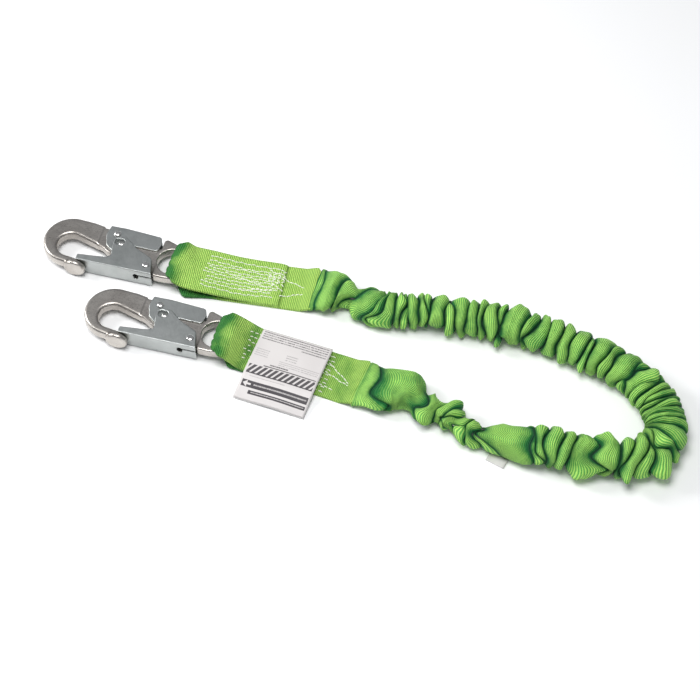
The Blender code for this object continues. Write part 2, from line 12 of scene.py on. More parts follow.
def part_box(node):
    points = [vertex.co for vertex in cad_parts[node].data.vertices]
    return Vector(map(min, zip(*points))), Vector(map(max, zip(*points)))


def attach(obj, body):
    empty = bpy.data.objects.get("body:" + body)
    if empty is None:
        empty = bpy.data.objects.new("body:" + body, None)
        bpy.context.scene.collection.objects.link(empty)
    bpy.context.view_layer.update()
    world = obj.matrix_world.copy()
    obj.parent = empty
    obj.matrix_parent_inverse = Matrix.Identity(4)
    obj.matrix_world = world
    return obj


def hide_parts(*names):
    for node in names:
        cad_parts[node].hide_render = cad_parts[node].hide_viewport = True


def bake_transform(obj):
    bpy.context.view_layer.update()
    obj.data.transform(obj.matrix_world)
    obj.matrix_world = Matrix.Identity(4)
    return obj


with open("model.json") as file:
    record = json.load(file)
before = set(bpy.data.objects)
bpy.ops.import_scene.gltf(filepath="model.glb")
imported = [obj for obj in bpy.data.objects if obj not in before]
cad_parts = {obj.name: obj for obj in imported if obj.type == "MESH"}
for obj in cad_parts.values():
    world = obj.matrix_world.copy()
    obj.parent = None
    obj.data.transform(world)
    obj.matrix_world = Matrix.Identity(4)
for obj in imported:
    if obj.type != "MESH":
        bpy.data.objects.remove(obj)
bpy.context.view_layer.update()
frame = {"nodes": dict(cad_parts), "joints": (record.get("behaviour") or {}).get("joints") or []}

# ---------------------------------------------------------------- studio
# The lanyard lies on a plain pale floor under a large overhead softbox and a softer
# box behind it, with an even pale surround, and is seen from 55 degrees above.
MM = 0.001
scene = bpy.context.scene
scene.view_settings.view_transform = 'Standard'


def link(name, data):
    made = bpy.data.objects.new(name, data)
    scene.collection.objects.link(made)
    return made


lens = bpy.data.cameras.new("camera")
lens.lens, lens.sensor_width = 90.55, 36.0
camera = link("camera", lens)
camera.location = (-0.003816, -0.887877, 1.26969)
camera.rotation_euler = (math.radians(35.0), 0.0, 0.0)
scene.camera = camera


def softbox(name, place, target, size, power, colour=(1.0, 1.0, 1.0)):
    data = bpy.data.lights.new(name, 'AREA')
    data.shape, data.size, data.energy, data.color = 'DISK', size, power, colour
    box = link(name, data)
    box.location = place
    aim = Vector(target) - Vector(place)
    box.rotation_euler = aim.to_track_quat('-Z', 'Y').to_euler()


softbox("overhead_softbox", (-0.2, -0.1, 1.5), (0.0, 0.0, 0.0), 0.9, 17.0)
softbox("left_softbox", (-1.3, 0.5, 0.9), (0.0, 0.0, 0.0), 0.6, 15.0)
softbox("front_softbox", (0.5, -1.5, 0.5), (0.0, 0.0, 0.0), 0.8, 2.4)

surround = bpy.data.worlds.new("pale_surround")
surround.use_nodes = True
surround.node_tree.nodes["Background"].inputs["Color"].default_value = (0.92, 0.95, 1.0, 1.0)
surround.node_tree.nodes["Background"].inputs["Strength"].default_value = 0.30
scene.world = surround


class Finish:
    """A node material: its shader, and short ways to add and link nodes."""

    def __init__(self, name, **constants):
        self.material = bpy.data.materials.new(name)
        self.material.use_nodes = True
        self.tree = self.material.node_tree
        self.shader = self.tree.nodes["Principled BSDF"]
        for socket, value in constants.items():
            self.shader.inputs[socket.replace("_", " ")].default_value = value

    def node(self, kind, settings=None, **inputs):
        made = self.tree.nodes.new("ShaderNode" + kind)
        for key, value in (settings or {}).items():
            setattr(made, key, value)
        for key, value in inputs.items():
            self.feed(made.inputs[key.replace("_", " ")], value)
        return made

    def feed(self, socket, value):
        if isinstance(value, bpy.types.NodeSocket):
            self.tree.links.new(value, socket)
        else:
            socket.default_value = value

    def math(self, operation, first, second=0.0, third=0.0):
        made = self.tree.nodes.new("ShaderNodeMath")
        made.operation = operation
        for socket, value in zip(made.inputs, (first, second, third)):
            self.feed(socket, value)
        return made.outputs[0]

    def remap(self, value, low, high, to_low, to_high):
        made = self.node("MapRange", Value=value, From_Min=low, From_Max=high,
                         To_Min=to_low, To_Max=to_high)
        return made.outputs["Result"]

    def blend(self, share, first, second):
        made = self.node("Mix", {"data_type": 'RGBA'})
        self.feed(made.inputs[0], share)
        self.feed(made.inputs[6], first)
        self.feed(made.inputs[7], second)
        return made.outputs[2]

    def place(self, scale, turn=0.0):
        """Object coordinates, turned about Z and stretched."""
        coords = self.node("TexCoord").outputs["Object"]
        mapping = self.node("Mapping", Vector=coords, Rotation=(0.0, 0.0, turn), Scale=scale)
        return mapping.outputs["Vector"]

    def grain(self, scale, coords, detail=3.0, roughness=0.5):
        return self.node("TexNoise", Vector=coords, Scale=scale, Detail=detail,
                         Roughness=roughness).outputs["Fac"]

    def colour(self, value):
        self.feed(self.shader.inputs["Base Color"], value)

    def rough(self, value):
        self.feed(self.shader.inputs["Roughness"], value)

    def bump(self, height, distance, strength=1.0, under=None):
        made = self.node("Bump", Height=height, Distance=distance, Strength=strength)
        if under is not None:
            self.feed(made.inputs["Normal"], under)
        self.feed(self.shader.inputs["Normal"], made.outputs["Normal"])
        return made.outputs["Normal"]


floor = Finish("pale_floor", Roughness=0.9)
floor.colour(floor.blend(floor.grain(3.0, floor.place((1, 1, 1))), (0.93, 0.93, 0.93, 1),
                         (0.95, 0.95, 0.95, 1)))
ground = bpy.data.meshes.new("floor")
ground.from_pydata([(-6, -6, 0), (6, -6, 0), (6, 6, 0), (-6, 6, 0)], [], [(0, 1, 2, 3)])
ground.materials.append(floor.material)
link("floor", ground)

# ---------------------------------------------------------------- hook bodies
# Drop-forged alloy steel, zinc plated: a bow with a rounded rim, a thinner shank that
# the lever and the gate are riveted through, a cupped tongue that the gate closes on,
# and an eye whose round bar holds the webbing.
HOOK_TURN = math.radians(-14.4)
BOW_HALF, SHANK_HALF, EYE_HALF, SPOON_HALF = 5.1, 4.1, 4.5, 9.2
GATE_PIVOT, LEVER_PIVOT, LOCK_PIN = (0.0, 0.0), (-36.9, 29.5), (-29.8, 19.5)
EYE_BAR, BAR_RADIUS, EYE_RADIUS = (25.5, 12.5), 4.5, 13.8
joints = {joint["name"]: joint for joint in frame["joints"]}


def hook_matrix(side):
    """From a hook's own millimetres (u to the eye, v to the spine, w up) to the lanyard."""
    v = Vector(joints[f"hook_{side}_swing"]["axis"]).normalized()
    w = Vector((0.0, 0.0, 1.0))
    turn = Matrix((v.cross(w), v, w)).transposed().to_4x4()
    return Matrix.Translation(joints[f"gate_{side}_open"]["pos_m"]) @ turn @ Matrix.Scale(MM, 4)


def arc(centre, radius, start, stop, steps):
    turns = [math.radians(start + (stop - start) * i / steps) for i in range(steps + 1)]
    return [(centre[0] + radius * math.cos(t), centre[1] + radius * math.sin(t)) for t in turns]


def rounded(corners, steps=6):
    """An outline from (u, v, radius) corners."""
    outline = []
    for index, (u, v, radius) in enumerate(corners):
        here = Vector((u, v))
        if radius == 0.0:
            outline.append((u, v))
            continue
        before = (Vector(corners[index - 1][:2]) - here).normalized()
        after = (Vector(corners[(index + 1) % len(corners)][:2]) - here).normalized()
        half = 0.5 * before.angle(after)
        centre = here + (before + after).normalized() * (radius / math.sin(half))
        first = here + before * (radius / math.tan(half)) - centre
        last = here + after * (radius / math.tan(half)) - centre
        sweep = first.angle_signed(last)
        for step in range(steps + 1):
            point = centre + Matrix.Rotation(-sweep * step / steps, 2) @ first
            outline.append((point.x, point.y))
    return outline


def plate(outline, low, high, bevel=0.0, only=None):
    """A closed plate; its rims are rounded, or only those that the function only picks."""
    shape = bmesh.new()
    face = shape.faces.new([shape.verts.new((u, v, low)) for u, v in outline])
    raised = bmesh.ops.extrude_face_region(shape, geom=[face])["geom"]
    top = [part for part in raised if isinstance(part, bmesh.types.BMVert)]
    bmesh.ops.translate(shape, verts=top, vec=(0.0, 0.0, high - low))
    if bevel:
        middle = 0.5 * (low + high)
        rims = [edge for edge in shape.edges
                if (edge.verts[0].co.z - middle) * (edge.verts[1].co.z - middle) > 0.0
                and (only is None or all(only(vert.co) for vert in edge.verts))]
        bmesh.ops.bevel(shape, geom=rims, offset=bevel, segments=5, profile=0.5,
                        affect='EDGES', clamp_overlap=True)
    bmesh.ops.recalc_face_normals(shape, faces=shape.faces)
    mesh = bpy.data.meshes.new("plate")
    shape.to_mesh(mesh)
    shape.free()
    return mesh


def rod(place, radius, low, high, sides=40):
    return plate(arc(place, radius, 0.0, 360.0 * (sides - 1) / sides, sides - 1), low, high)


def crosswise(mesh, u, v):
    """Turns a shape made along w so that it lies along v, its middle at (u, v)."""
    mesh.transform(Matrix.Translation((u, v, 0.0)) @ Matrix.Rotation(math.radians(90.0), 4, 'X'))
    return mesh


def evaluated_mesh(worked):
    """The object's finished mesh; the object itself is removed."""
    depsgraph = bpy.context.evaluated_depsgraph_get()
    mesh = bpy.data.meshes.new_from_object(worked.evaluated_get(depsgraph))
    bpy.data.objects.remove(worked)
    return mesh


def worked_metal(added, cut, voxel, softening):
    """One solid from shapes joined and cut, its edges softened as forging or plating does."""
    body = link("blank", added[0])
    tools = []
    for operation, meshes in (('UNION', added[1:]), ('DIFFERENCE', cut)):
        for mesh in meshes:
            tools.append(link("tool", mesh))
            step = body.modifiers.new("step", 'BOOLEAN')
            step.operation, step.solver, step.object = operation, 'EXACT', tools[-1]
    skin = body.modifiers.new("skin", 'REMESH')
    skin.mode, skin.voxel_size, skin.use_smooth_shade = 'VOXEL', voxel, True
    soften = body.modifiers.new("soften", 'SMOOTH')
    soften.factor, soften.iterations = 0.5, softening
    mesh = evaluated_mesh(body)
    for tool in tools:
        bpy.data.objects.remove(tool)
    return mesh


def place_piece(name, mesh, finish, body, slot, *nodes):
    """Names a finished mesh, gives it its material and lets it stand for CAD nodes."""
    mesh.name = name
    mesh.materials.clear()
    mesh.materials.append(finish.material)
    mesh.shade_smooth()
    made = link(name, mesh)
    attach(made, body)
    if nodes:
        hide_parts(*nodes)
    return made


def metal(name, light, dark, roughness, grain_scale):
    """Plated steel: cloudy tone, fine brushing along the hook, tiny pits in the plating."""
    made = Finish(name, Metallic=1.0)
    clouds = made.grain(45.0, made.place((1, 1, 1)), 4.0, 0.6)
    brushing = made.grain(1.0, made.place(grain_scale, -HOOK_TURN), 3.0, 0.6)
    pits = made.grain(2600.0, made.place((1, 1, 1)), 2.0, 0.6)
    tone = made.remap(made.math('ADD', clouds, made.math('MULTIPLY', brushing, 0.35)),
                      0.5, 0.9, 0.0, 1.0)
    made.colour(made.blend(tone, (*dark, 1), (*light, 1)))
    made.rough(made.remap(brushing, 0.3, 0.7, roughness - 0.05, roughness + 0.08))
    under = made.bump(clouds, 0.00025, 0.5)
    under = made.bump(brushing, 0.00002, 0.7, under)
    made.bump(pits, 0.00001, 0.6, under)
    return made


STEEL = metal("forged_steel_plated", (0.58, 0.55, 0.51), (0.42, 0.39, 0.36), 0.30,
              (500, 3200, 900))

bow = [(-50.5, 36.4), (-60.0, 38.2)] + arc((-76.4, 13.9), 25.3, 82.0, 264.0, 40)
bow += [(-71.0, -12.4), (-64.6, -12.4), (-64.6, -5.2)]
bow += arc((-75.2, 8.6), 12.3, 260.0, 80.0, 32) + [(-50.5, 14.2)]
shank = [(-53.0, 35.0), (-46.0, 34.8), (-35.0, 34.0), (-28.0, 31.0), (-5.0, 25.6), (8.0, 24.0),
         (8.0, -5.6), (0.0, -5.8), (-6.0, -4.6), (-20.0, 1.6), (-30.0, 5.0), (-38.0, 7.8),
         (-46.0, 13.0), (-53.0, 16.0)]
eye = rounded([(6.7, 26.0, 0.0), (6.7, 34.2, 1.2), (9.5, 36.0, 1.5), (21.0, 32.0, 3.0),
               (30.0, 30.5, 5.0), (30.0, -5.5, 5.0), (18.0, -6.9, 4.0), (6.7, -6.6, 1.2),
               (6.7, 4.0, 0.0)])
spoon = [(10.0 * math.cos(t), SPOON_HALF * math.sin(t))
         for t in np.linspace(0.0, 2.0 * math.pi, 40, endpoint=False)]
eye_hole = ([(34.0, EYE_BAR[1] + EYE_RADIUS)] + arc((20.5, EYE_BAR[1]), EYE_RADIUS, 90.0, 270.0, 32)
            + [(34.0, EYE_BAR[1] - EYE_RADIUS)])
pin_slot = rounded([(LOCK_PIN[0] + u, LOCK_PIN[1] + v, 2.0)
                    for u, v in ((-5.0, -3.6), (2.8, -3.6), (2.8, 2.6), (-5.0, 2.6))])
pocket_floor = SHANK_HALF - 2.4
groove = [(-43.6, 28.0), (-37.0, 24.2), (-37.0, 40.0), (-43.6, 40.0)]
bar_reach = EYE_RADIUS + 2.5
hook_metal = worked_metal(
    [plate(bow, -BOW_HALF, BOW_HALF, 2.4), plate(shank, -SHANK_HALF, SHANK_HALF, 0.6),
     plate(eye, -EYE_HALF, EYE_HALF, 2.8), crosswise(plate(spoon, -2.9, 2.9, 2.2), -64.4, -12.4)],
    [plate(eye_hole, -8.0, 8.0), rod(GATE_PIVOT, 2.7, -8.0, 8.0), rod(LEVER_PIVOT, 2.6, -8.0, 8.0),
     plate(pin_slot, -8.0, 8.0), rod(LEVER_PIVOT, 5.6, pocket_floor, 8.0),
     plate(groove, pocket_floor, 8.0)], 0.5, 5)
bar_blank = link("blank", crosswise(rod((0.0, 0.0), BAR_RADIUS, -bar_reach, bar_reach), *EYE_BAR))
bar_metal = evaluated_mesh(bar_blank)
whole = bmesh.new()
for mesh in (hook_metal, bar_metal):
    whole.from_mesh(mesh)
joined = bpy.data.meshes.new("joined")
whole.to_mesh(joined)
whole.free()
hook_metal = worked_metal([joined], [], 0.48, 4)

for side in "ab":
    mesh = hook_metal.copy()
    mesh.transform(hook_matrix(side))
    place_piece(f"hook_forging_{side}", mesh, STEEL, f"hook_{side}", "forged_steel",
                f"hook_body_{side}")

# ---------------------------------------------------------------- gates
# Keeper pressed from 1.5 mm zinc-plated sheet into a channel: its base closes the bow's
# mouth, its two cheeks straddle the shank and turn on the gate rivet. A round hole and a
# slit in the base take the spring's leg, and a window in each cheek shows the lock pin.
ZINC = metal("zinc_plated_sheet", (0.50, 0.52, 0.51), (0.40, 0.42, 0.41), 0.34, (2400, 500, 1500))
gate_side = rounded([(-63.8, -3.2, 1.6), (-38.5, -0.4, 5.0), (-34.0, 2.6, 2.0), (-36.4, 14.0, 3.0),
                     (-36.8, 24.6, 3.0), (-25.0, 24.9, 3.0), (-14.0, 16.0, 4.0), (3.0, 8.0, 4.0),
                     (7.4, -9.0, 0.0), (-63.8, -9.0, 0.8)])
gate_hollow = [(-80.0, -7.5), (30.0, -7.5), (30.0, 50.0), (-80.0, 50.0)]
gate_window = rounded([(-35.2, 16.0, 2.6), (-26.6, 16.0, 2.6), (-26.6, 22.8, 2.6),
                       (-35.2, 22.8, 2.6)])
slit = [(-7.6, 1.2), (12.0, 1.2), (12.0, 2.6), (-7.6, 2.6)]
spring_hole = [(2.6 * math.cos(t), 3.4 * math.sin(t))
               for t in np.linspace(0.0, 2.0 * math.pi, 24, endpoint=False)]
gate_metal = worked_metal(
    [plate(gate_side, -9.0, 9.0, 1.7, lambda co: co.y < -8.0)],
    [plate(gate_hollow, -7.5, 7.5), rod(GATE_PIVOT, 2.7, -12.0, 12.0),
     plate(gate_window, -12.0, 12.0), crosswise(plate(spring_hole, -2.0, 2.0), -7.6, -8.25),
     crosswise(plate(slit, -2.0, 2.0), 0.0, -8.25)], 0.38, 2)
for side in "ab":
    mesh = gate_metal.copy()
    mesh.transform(hook_matrix(side))
    place_piece(f"gate_pressing_{side}", mesh, ZINC, f"gate_{side}_body", "zinc_plate",
                f"gate_{side}")

# ---------------------------------------------------------------- thumb levers
# Lock lever pressed from the same sheet: a channel that caps the hook's spine, with a
# lobe on each side that carries the lock pin. It turns on its own rivet in the shank.
lever_side = rounded([(-45.2, 37.5, 1.5), (-29.0, 37.7, 8.0), (3.6, 35.6, 3.5), (6.0, 29.0, 8.0),
                      (4.4, 19.6, 3.0), (-18.0, 19.9, 6.0), (-26.0, 13.0, 4.0),
                      (-35.4, 9.8, 2.0), (-43.0, 15.6, 5.0), (-46.8, 27.0, 8.0)])
lever_hollow = [(-60.0, 0.0), (20.0, 0.0), (20.0, 33.5), (-29.0, 36.2), (-60.0, 36.0)]
lever_metal = worked_metal(
    [plate(lever_side, -5.8, 5.8, 1.3, lambda co: co.y > 33.0)],
    [plate(lever_hollow, -4.5, 4.5), rod(LEVER_PIVOT, 2.6, -12.0, 12.0),
     rod(LOCK_PIN, 2.2, -12.0, 12.0)], 0.33, 2)
for side in "ab":
    mesh = lever_metal.copy()
    mesh.transform(hook_matrix(side))
    place_piece(f"thumb_lever_{side}", mesh, ZINC, f"lever_{side}_body", "zinc_plate",
                f"lock_lever_{side}")

# ---------------------------------------------------------------- rivets and springs
# Turned steel rivets with polished domed heads; the gate's and the lever's are the
# pivots, and the lock pin rides in the lever. Two torsion springs of bright drawn wire
# sit on the pivots.
BRIGHT = metal("polished_rivet_steel", (0.80, 0.79, 0.77), (0.70, 0.69, 0.67), 0.18,
               (900, 900, 900))


class Tree:
    """A geometry node tree with named inputs and short ways to add and link nodes."""

    def __init__(self, name, inputs):
        self.tree = bpy.data.node_groups.new(name, 'GeometryNodeTree')
        self.tree.interface.new_socket("Geometry", in_out='OUTPUT',
                                       socket_type='NodeSocketGeometry')
        self.names = {}
        for label, kind in inputs:
            made = self.tree.interface.new_socket(label, in_out='INPUT',
                                                  socket_type="NodeSocket" + kind)
            self.names[label] = made.identifier
        self.inputs = self.tree.nodes.new('NodeGroupInput').outputs
        self.output = self.tree.nodes.new('NodeGroupOutput').inputs[0]

    def node(self, kind, settings=None, **inputs):
        made = self.tree.nodes.new(kind)
        for key, value in (settings or {}).items():
            setattr(made, key, value)
        for key, value in inputs.items():
            self.feed(made.inputs[key.replace("_", " ")], value)
        return made

    def feed(self, socket, value):
        if isinstance(value, bpy.types.NodeSocket):
            self.tree.links.new(value, socket)
        elif isinstance(value, (list, tuple)) and value and isinstance(value[0],
                                                                       bpy.types.NodeSocket):
            for each in value:
                self.tree.links.new(each, socket)
        else:
            socket.default_value = value

    def math(self, operation, *values):
        made = self.tree.nodes.new('ShaderNodeMath')
        made.operation = operation
        for socket, value in zip(made.inputs, values):
            self.feed(socket, value)
        return made.outputs[0]

    def end(self, geometry):
        """Realize Instances and Set Material close every tree."""
        real = self.node('GeometryNodeRealizeInstances', Geometry=geometry).outputs[0]
        dressed = self.node('GeometryNodeSetMaterial', Geometry=real,
                            Material=self.inputs["Material"]).outputs[0]
        self.tree.links.new(dressed, self.output)

    def grow(self, data, **values):
        """The tree run once on a piece of data, as a plain mesh."""
        worked = link("worked", data)
        step = worked.modifiers.new("grow", 'NODES')
        step.node_group = self.tree
        for label, value in values.items():
            step[self.names[label.replace("_", " ")]] = value
        return evaluated_mesh(worked)


rivet_tree = Tree("rivet", [("Geometry", "Geometry"), ("Shaft Radius", "Float"),
                            ("Head Radius", "Float"), ("Inner", "Float"), ("Outer", "Float"),
                            ("Material", "Material")])
rivet_in = rivet_tree.inputs
dome_height = rivet_tree.math('SUBTRACT', rivet_in["Outer"], rivet_in["Inner"])
blank_head = rivet_tree.node('GeometryNodeMeshCylinder', {"fill_type": 'NGON'}, Vertices=40,
                             Side_Segments=9, Radius=1.0, Depth=dome_height).outputs["Mesh"]
lift = rivet_tree.node('ShaderNodeCombineXYZ', Z=rivet_tree.math(
    'MULTIPLY', rivet_tree.math('ADD', rivet_in["Outer"], rivet_in["Inner"]), 0.5)).outputs[0]
raised_head = rivet_tree.node('GeometryNodeTransform', Geometry=blank_head,
                              Translation=lift).outputs[0]
where = rivet_tree.node('ShaderNodeSeparateXYZ',
                        Vector=rivet_tree.node('GeometryNodeInputPosition').outputs[0]).outputs
rise = rivet_tree.math('DIVIDE', rivet_tree.math('SUBTRACT', where["Z"], rivet_in["Inner"]),
                       dome_height)
bend = rivet_tree.math('SQRT', rivet_tree.math(
    'SUBTRACT', 1.0, rivet_tree.math('MULTIPLY', rivet_tree.math('MULTIPLY', rise, rise), 0.96)))
width = rivet_tree.math('MULTIPLY', bend, rivet_in["Head Radius"])
domed = rivet_tree.node('ShaderNodeCombineXYZ', X=rivet_tree.math('MULTIPLY', where["X"], width),
                        Y=rivet_tree.math('MULTIPLY', where["Y"], width),
                        Z=where["Z"]).outputs[0]
head = rivet_tree.node('GeometryNodeSetPosition', Geometry=raised_head,
                       Position=domed).outputs[0]
other_head = rivet_tree.node('GeometryNodeTransform', Geometry=head,
                             Rotation=(math.pi, 0.0, 0.0)).outputs[0]
shaft = rivet_tree.node('GeometryNodeMeshCylinder', Vertices=32, Radius=rivet_in["Shaft Radius"],
                        Depth=rivet_tree.math('MULTIPLY', rivet_in["Inner"], 2.0)).outputs["Mesh"]
rivet_tree.end(rivet_tree.node('GeometryNodeJoinGeometry',
                               Geometry=[head, other_head, shaft]).outputs[0])

RIVETS = {"gate_rivet": (GATE_PIVOT, 2.4, 3.0, 9.25, 10.0, "hook_{}"),
          "lever_rivet": (LEVER_PIVOT, 2.3, 3.2, 6.1, 7.5, "hook_{}"),
          "lock_pin": (LOCK_PIN, 1.9, 2.7, 6.05, 7.2, "lever_{}_body")}
for kind, (place, shaft_radius, head_radius, inner, outer, body) in RIVETS.items():
    for side in "ab":
        mesh = rivet_tree.grow(bpy.data.meshes.new("rivet"), Shaft_Radius=shaft_radius,
                               Head_Radius=head_radius, Inner=inner, Outer=outer,
                               Material=BRIGHT.material)
        mesh.transform(hook_matrix(side) @ Matrix.Translation((*place, 0.0)))
        made = place_piece(f"{kind}_head_{side}", mesh, BRIGHT, body.format(side),
                           "forged_steel", f"{kind}_{side}")
        made.data.set_sharp_from_angle(angle=math.radians(50.0))

WIRE = metal("bright_spring_wire", (0.46, 0.46, 0.47), (0.34, 0.34, 0.35), 0.25,
             (2500, 2500, 2500))
for side in "ab":
    for spring in ("gate_spring_", "lever_spring_"):
        frame["nodes"][spring + side].data.materials.clear()
        frame["nodes"][spring + side].data.materials.append(WIRE.material)

# ---------------------------------------------------------------- end straps
# Green polyester webbing, 47 mm wide, with fine cross ribs. It comes out of the jacket,
# goes round the eye bar, bunched by the eye, and lies doubled back over itself.
WEB_WIDTH, WEB_THICK, LOOP_RADIUS, LOOP_WIDTH = 47.0, 2.1, 7.0, 24.5
HOOK_MID, LAYER_LOW, LAYER_HIGH = 10.0, 1.5, 4.1
ORIGIN_SHIFT = Vector((-3.816, 1.163))
STRAP_ROUTES = {
    "a": [(-130.0, 80.6), (-95.0, 74.2), (-60.0, 68.0), (-31.0, 62.6)],
    "b": [(-88.0, -1.5), (-55.0, -13.5), (-20.0, -26.8), (10.0, -38.8)],
}
TAIL_LENGTH = {"a": 98.0, "b": 86.0}


def ribbed(name, light, dark, shade, pitch):
    """Ribbed webbing; u and v of its map are metres along and across the cloth. A point
    attribute, 1 on the crests and 0 in the creases, paints shade: low values turn the colour
    towards the middle and shade colours, a painted shade in creases and shaded stretches."""
    made = Finish(name, Roughness=0.62)
    made.shader.inputs["Sheen Weight"].default_value = 0.04
    made.shader.inputs["Specular IOR Level"].default_value = 0.25
    cloth = made.node("SeparateXYZ", Vector=made.node("UVMap", {"uv_map": "cloth"}).outputs[0])
    # painted shade: the point attribute, low in creases and in shaded stretches of cloth
    painted_shade_and_tone = made.node("Attribute", {"attribute_name": "painted_shade_and_tone"}).outputs["Fac"]
    wander = made.grain(90.0, made.place((1, 1, 1)), 2.0)
    along = made.math('ADD', cloth.outputs["X"], made.math('MULTIPLY', wander, 0.0012))
    turn = 2.0 * math.pi / (pitch * MM)
    rib = made.math('SINE', made.math('MULTIPLY', along, turn))
    pick = made.math('SINE', made.math('MULTIPLY', cloth.outputs["Y"], turn * 1.3))
    fibre = made.grain(5200.0, made.place((1, 1, 1)), 2.0, 0.6)
    clouds = made.grain(60.0, made.place((1, 1, 1)), 4.0, 0.6)
    crown = made.remap(rib, -1.0, 0.5, 0.0, 1.0)
    tone = made.math('ADD', made.math('MULTIPLY', crown, 0.85),
                     made.math('ADD', made.math('MULTIPLY', made.remap(pick, -1, 1, 0, 1), 0.12),
                               made.math('ADD', made.math('MULTIPLY', fibre, 0.25),
                                         made.math('MULTIPLY', clouds, 0.35))))
    face = made.blend(made.remap(tone, 0.25, 1.2, 0.0, 1.0), (*dark, 1), (*light, 1))
    # Painted shade: where that attribute is low the colour goes through the middle colour to the shade colour.
    shade_and_clouds = made.math('ADD', painted_shade_and_tone, made.remap(clouds, 0.3, 0.7, -0.16, 0.16))
    middle = [0.5 * (s + d) for s, d in zip(shade, dark)]
    deep = made.blend(made.remap(shade_and_clouds, 0.05, 0.5, 0.0, 1.0), (*shade, 1), (*middle, 1))
    made.colour(made.blend(made.remap(shade_and_clouds, 0.4, 0.9, 0.0, 1.0), deep, face))
    made.rough(made.remap(fibre, 0.3, 0.7, 0.55, 0.72))
    under = made.bump(rib, 0.0004, 1.0)
    under = made.bump(pick, 0.00006, 0.9, under)
    made.bump(fibre, 0.00008, 0.5, under)
    return made


# the third colour is the painted shade used round the loop and in the dip before the label
STRAP_GREEN = ribbed("green_strap_webbing", (0.54, 0.80, 0.17), (0.12, 0.38, 0.045),
                     (0.005, 0.14, 0.03), 1.65)


def smooth_route(points, step):
    """Catmull-Rom samples through rows of numbers, evenly spaced in plan; columns after
    the first two are carried along."""
    rows = np.array(points, float)
    rows = np.vstack([2 * rows[0] - rows[1], rows, 2 * rows[-1] - rows[-2]])
    t = np.linspace(0.0, 1.0, 24, endpoint=False)[:, None]
    fine = [0.5 * (2 * b + (c - a) * t + (2 * a - 5 * b + 4 * c - d) * t ** 2
                   + (3 * b - a - 3 * c + d) * t ** 3)
            for a, b, c, d in zip(rows, rows[1:], rows[2:], rows[3:])]
    fine = np.vstack(fine + [rows[-2:-1]])
    reach = np.concatenate([[0], np.cumsum(np.linalg.norm(np.diff(fine[:, :2], axis=0), axis=1))])
    wanted = np.linspace(0.0, reach[-1], int(reach[-1] / step) + 1)
    return wanted, np.stack([np.interp(wanted, reach, column) for column in fine.T], axis=1)


def ease(value, low, high):
    share = np.clip((np.asarray(value, float) - low) / (high - low), 0.0, 1.0)
    return share * share * (3 - 2 * share)


def lump(value, middle, width):
    return np.exp(-((np.asarray(value, float) - middle) / width) ** 2)


def bar_centre(side):
    place = hook_matrix(side) @ Vector((*EYE_BAR, 0.0)) / MM
    return np.array(place[:2])


def strap_line(side):
    """The strap's middle in plan: distances from the bar, points, and unit lefts."""
    bar = bar_centre(side)
    out = np.array([math.cos(HOOK_TURN), math.sin(HOOK_TURN)]) * 12.0
    rest = [np.array(p) + np.array(ORIGIN_SHIFT) for p in STRAP_ROUTES[side]]
    distance, plan = smooth_route([bar, bar + out] + rest, 1.0)
    run = np.gradient(plan, axis=0)
    run /= np.linalg.norm(run, axis=1)[:, None]
    return distance, plan, np.stack([-run[:, 1], run[:, 0]], axis=1)


def strap_surface(side, layer, distance, across):
    """A point on a layer's middle, in mm: distance from the bar, across from -1 to 1."""
    reach, plan, lefts = strap_line(side)
    place = np.stack([np.interp(distance, reach, c) for c in plan.T], axis=-1)
    left = np.stack([np.interp(distance, reach, c) for c in lefts.T], axis=-1)
    if layer == "upper":
        start, rest = HOOK_MID + LOOP_RADIUS, LAYER_HIGH
        width = LOOP_WIDTH + (WEB_WIDTH - LOOP_WIDTH) * ease(distance, -6.0, 3.0)
    else:
        start, rest = HOOK_MID - LOOP_RADIUS, LAYER_LOW
        width = LOOP_WIDTH + (WEB_WIDTH - LOOP_WIDTH) * ease(distance, 0.0, 13.0)
    settled = 80.0 if layer == "upper" and side == "a" else 31.0
    height = start + (rest - start) * ease(distance, 2.0, settled) ** (31.0 / settled)
    if layer == "upper":
        height = height - 1.9 * ease(distance, TAIL_LENGTH[side] - 7.0, TAIL_LENGTH[side] + 1.0)
    near = 1.0 - ease(distance, 0.0, 40.0)
    slide = -4.5 * near * ease(distance, 2.0, 12.0) if layer == "lower" and side == "a" else 0.0
    if layer == "upper":
        height = height + 1.4 * near * np.cos(2.3 * across) * ease(distance, -4.0, 8.0)
        height = height - 1.7 * near * np.abs(across) ** 3 * ease(distance, 4.0, 12.0)
        ripple = 0.45 * np.sin(across * 5.0 + distance * 0.12) * ease(distance, 0.0, 12.0)
        height = height + ripple * (0.35 + near)
        if side == "b":
            height = height + 2.6 * lump(distance, 8.0, 8.0) * lump(across, 0.35, 0.6)
            height = height - 2.2 * lump(distance, 25.0, 8.0) * lump(across, -0.1, 0.5)
    else:
        height = height + 0.3 * np.sin(distance * 0.11 + across)
        height = np.maximum(height, LAYER_LOW - 0.25)
    spread = place + left * (across * 0.5 * width + slide)[..., None]
    return np.concatenate([spread, np.asarray(height)[..., None]], axis=-1)


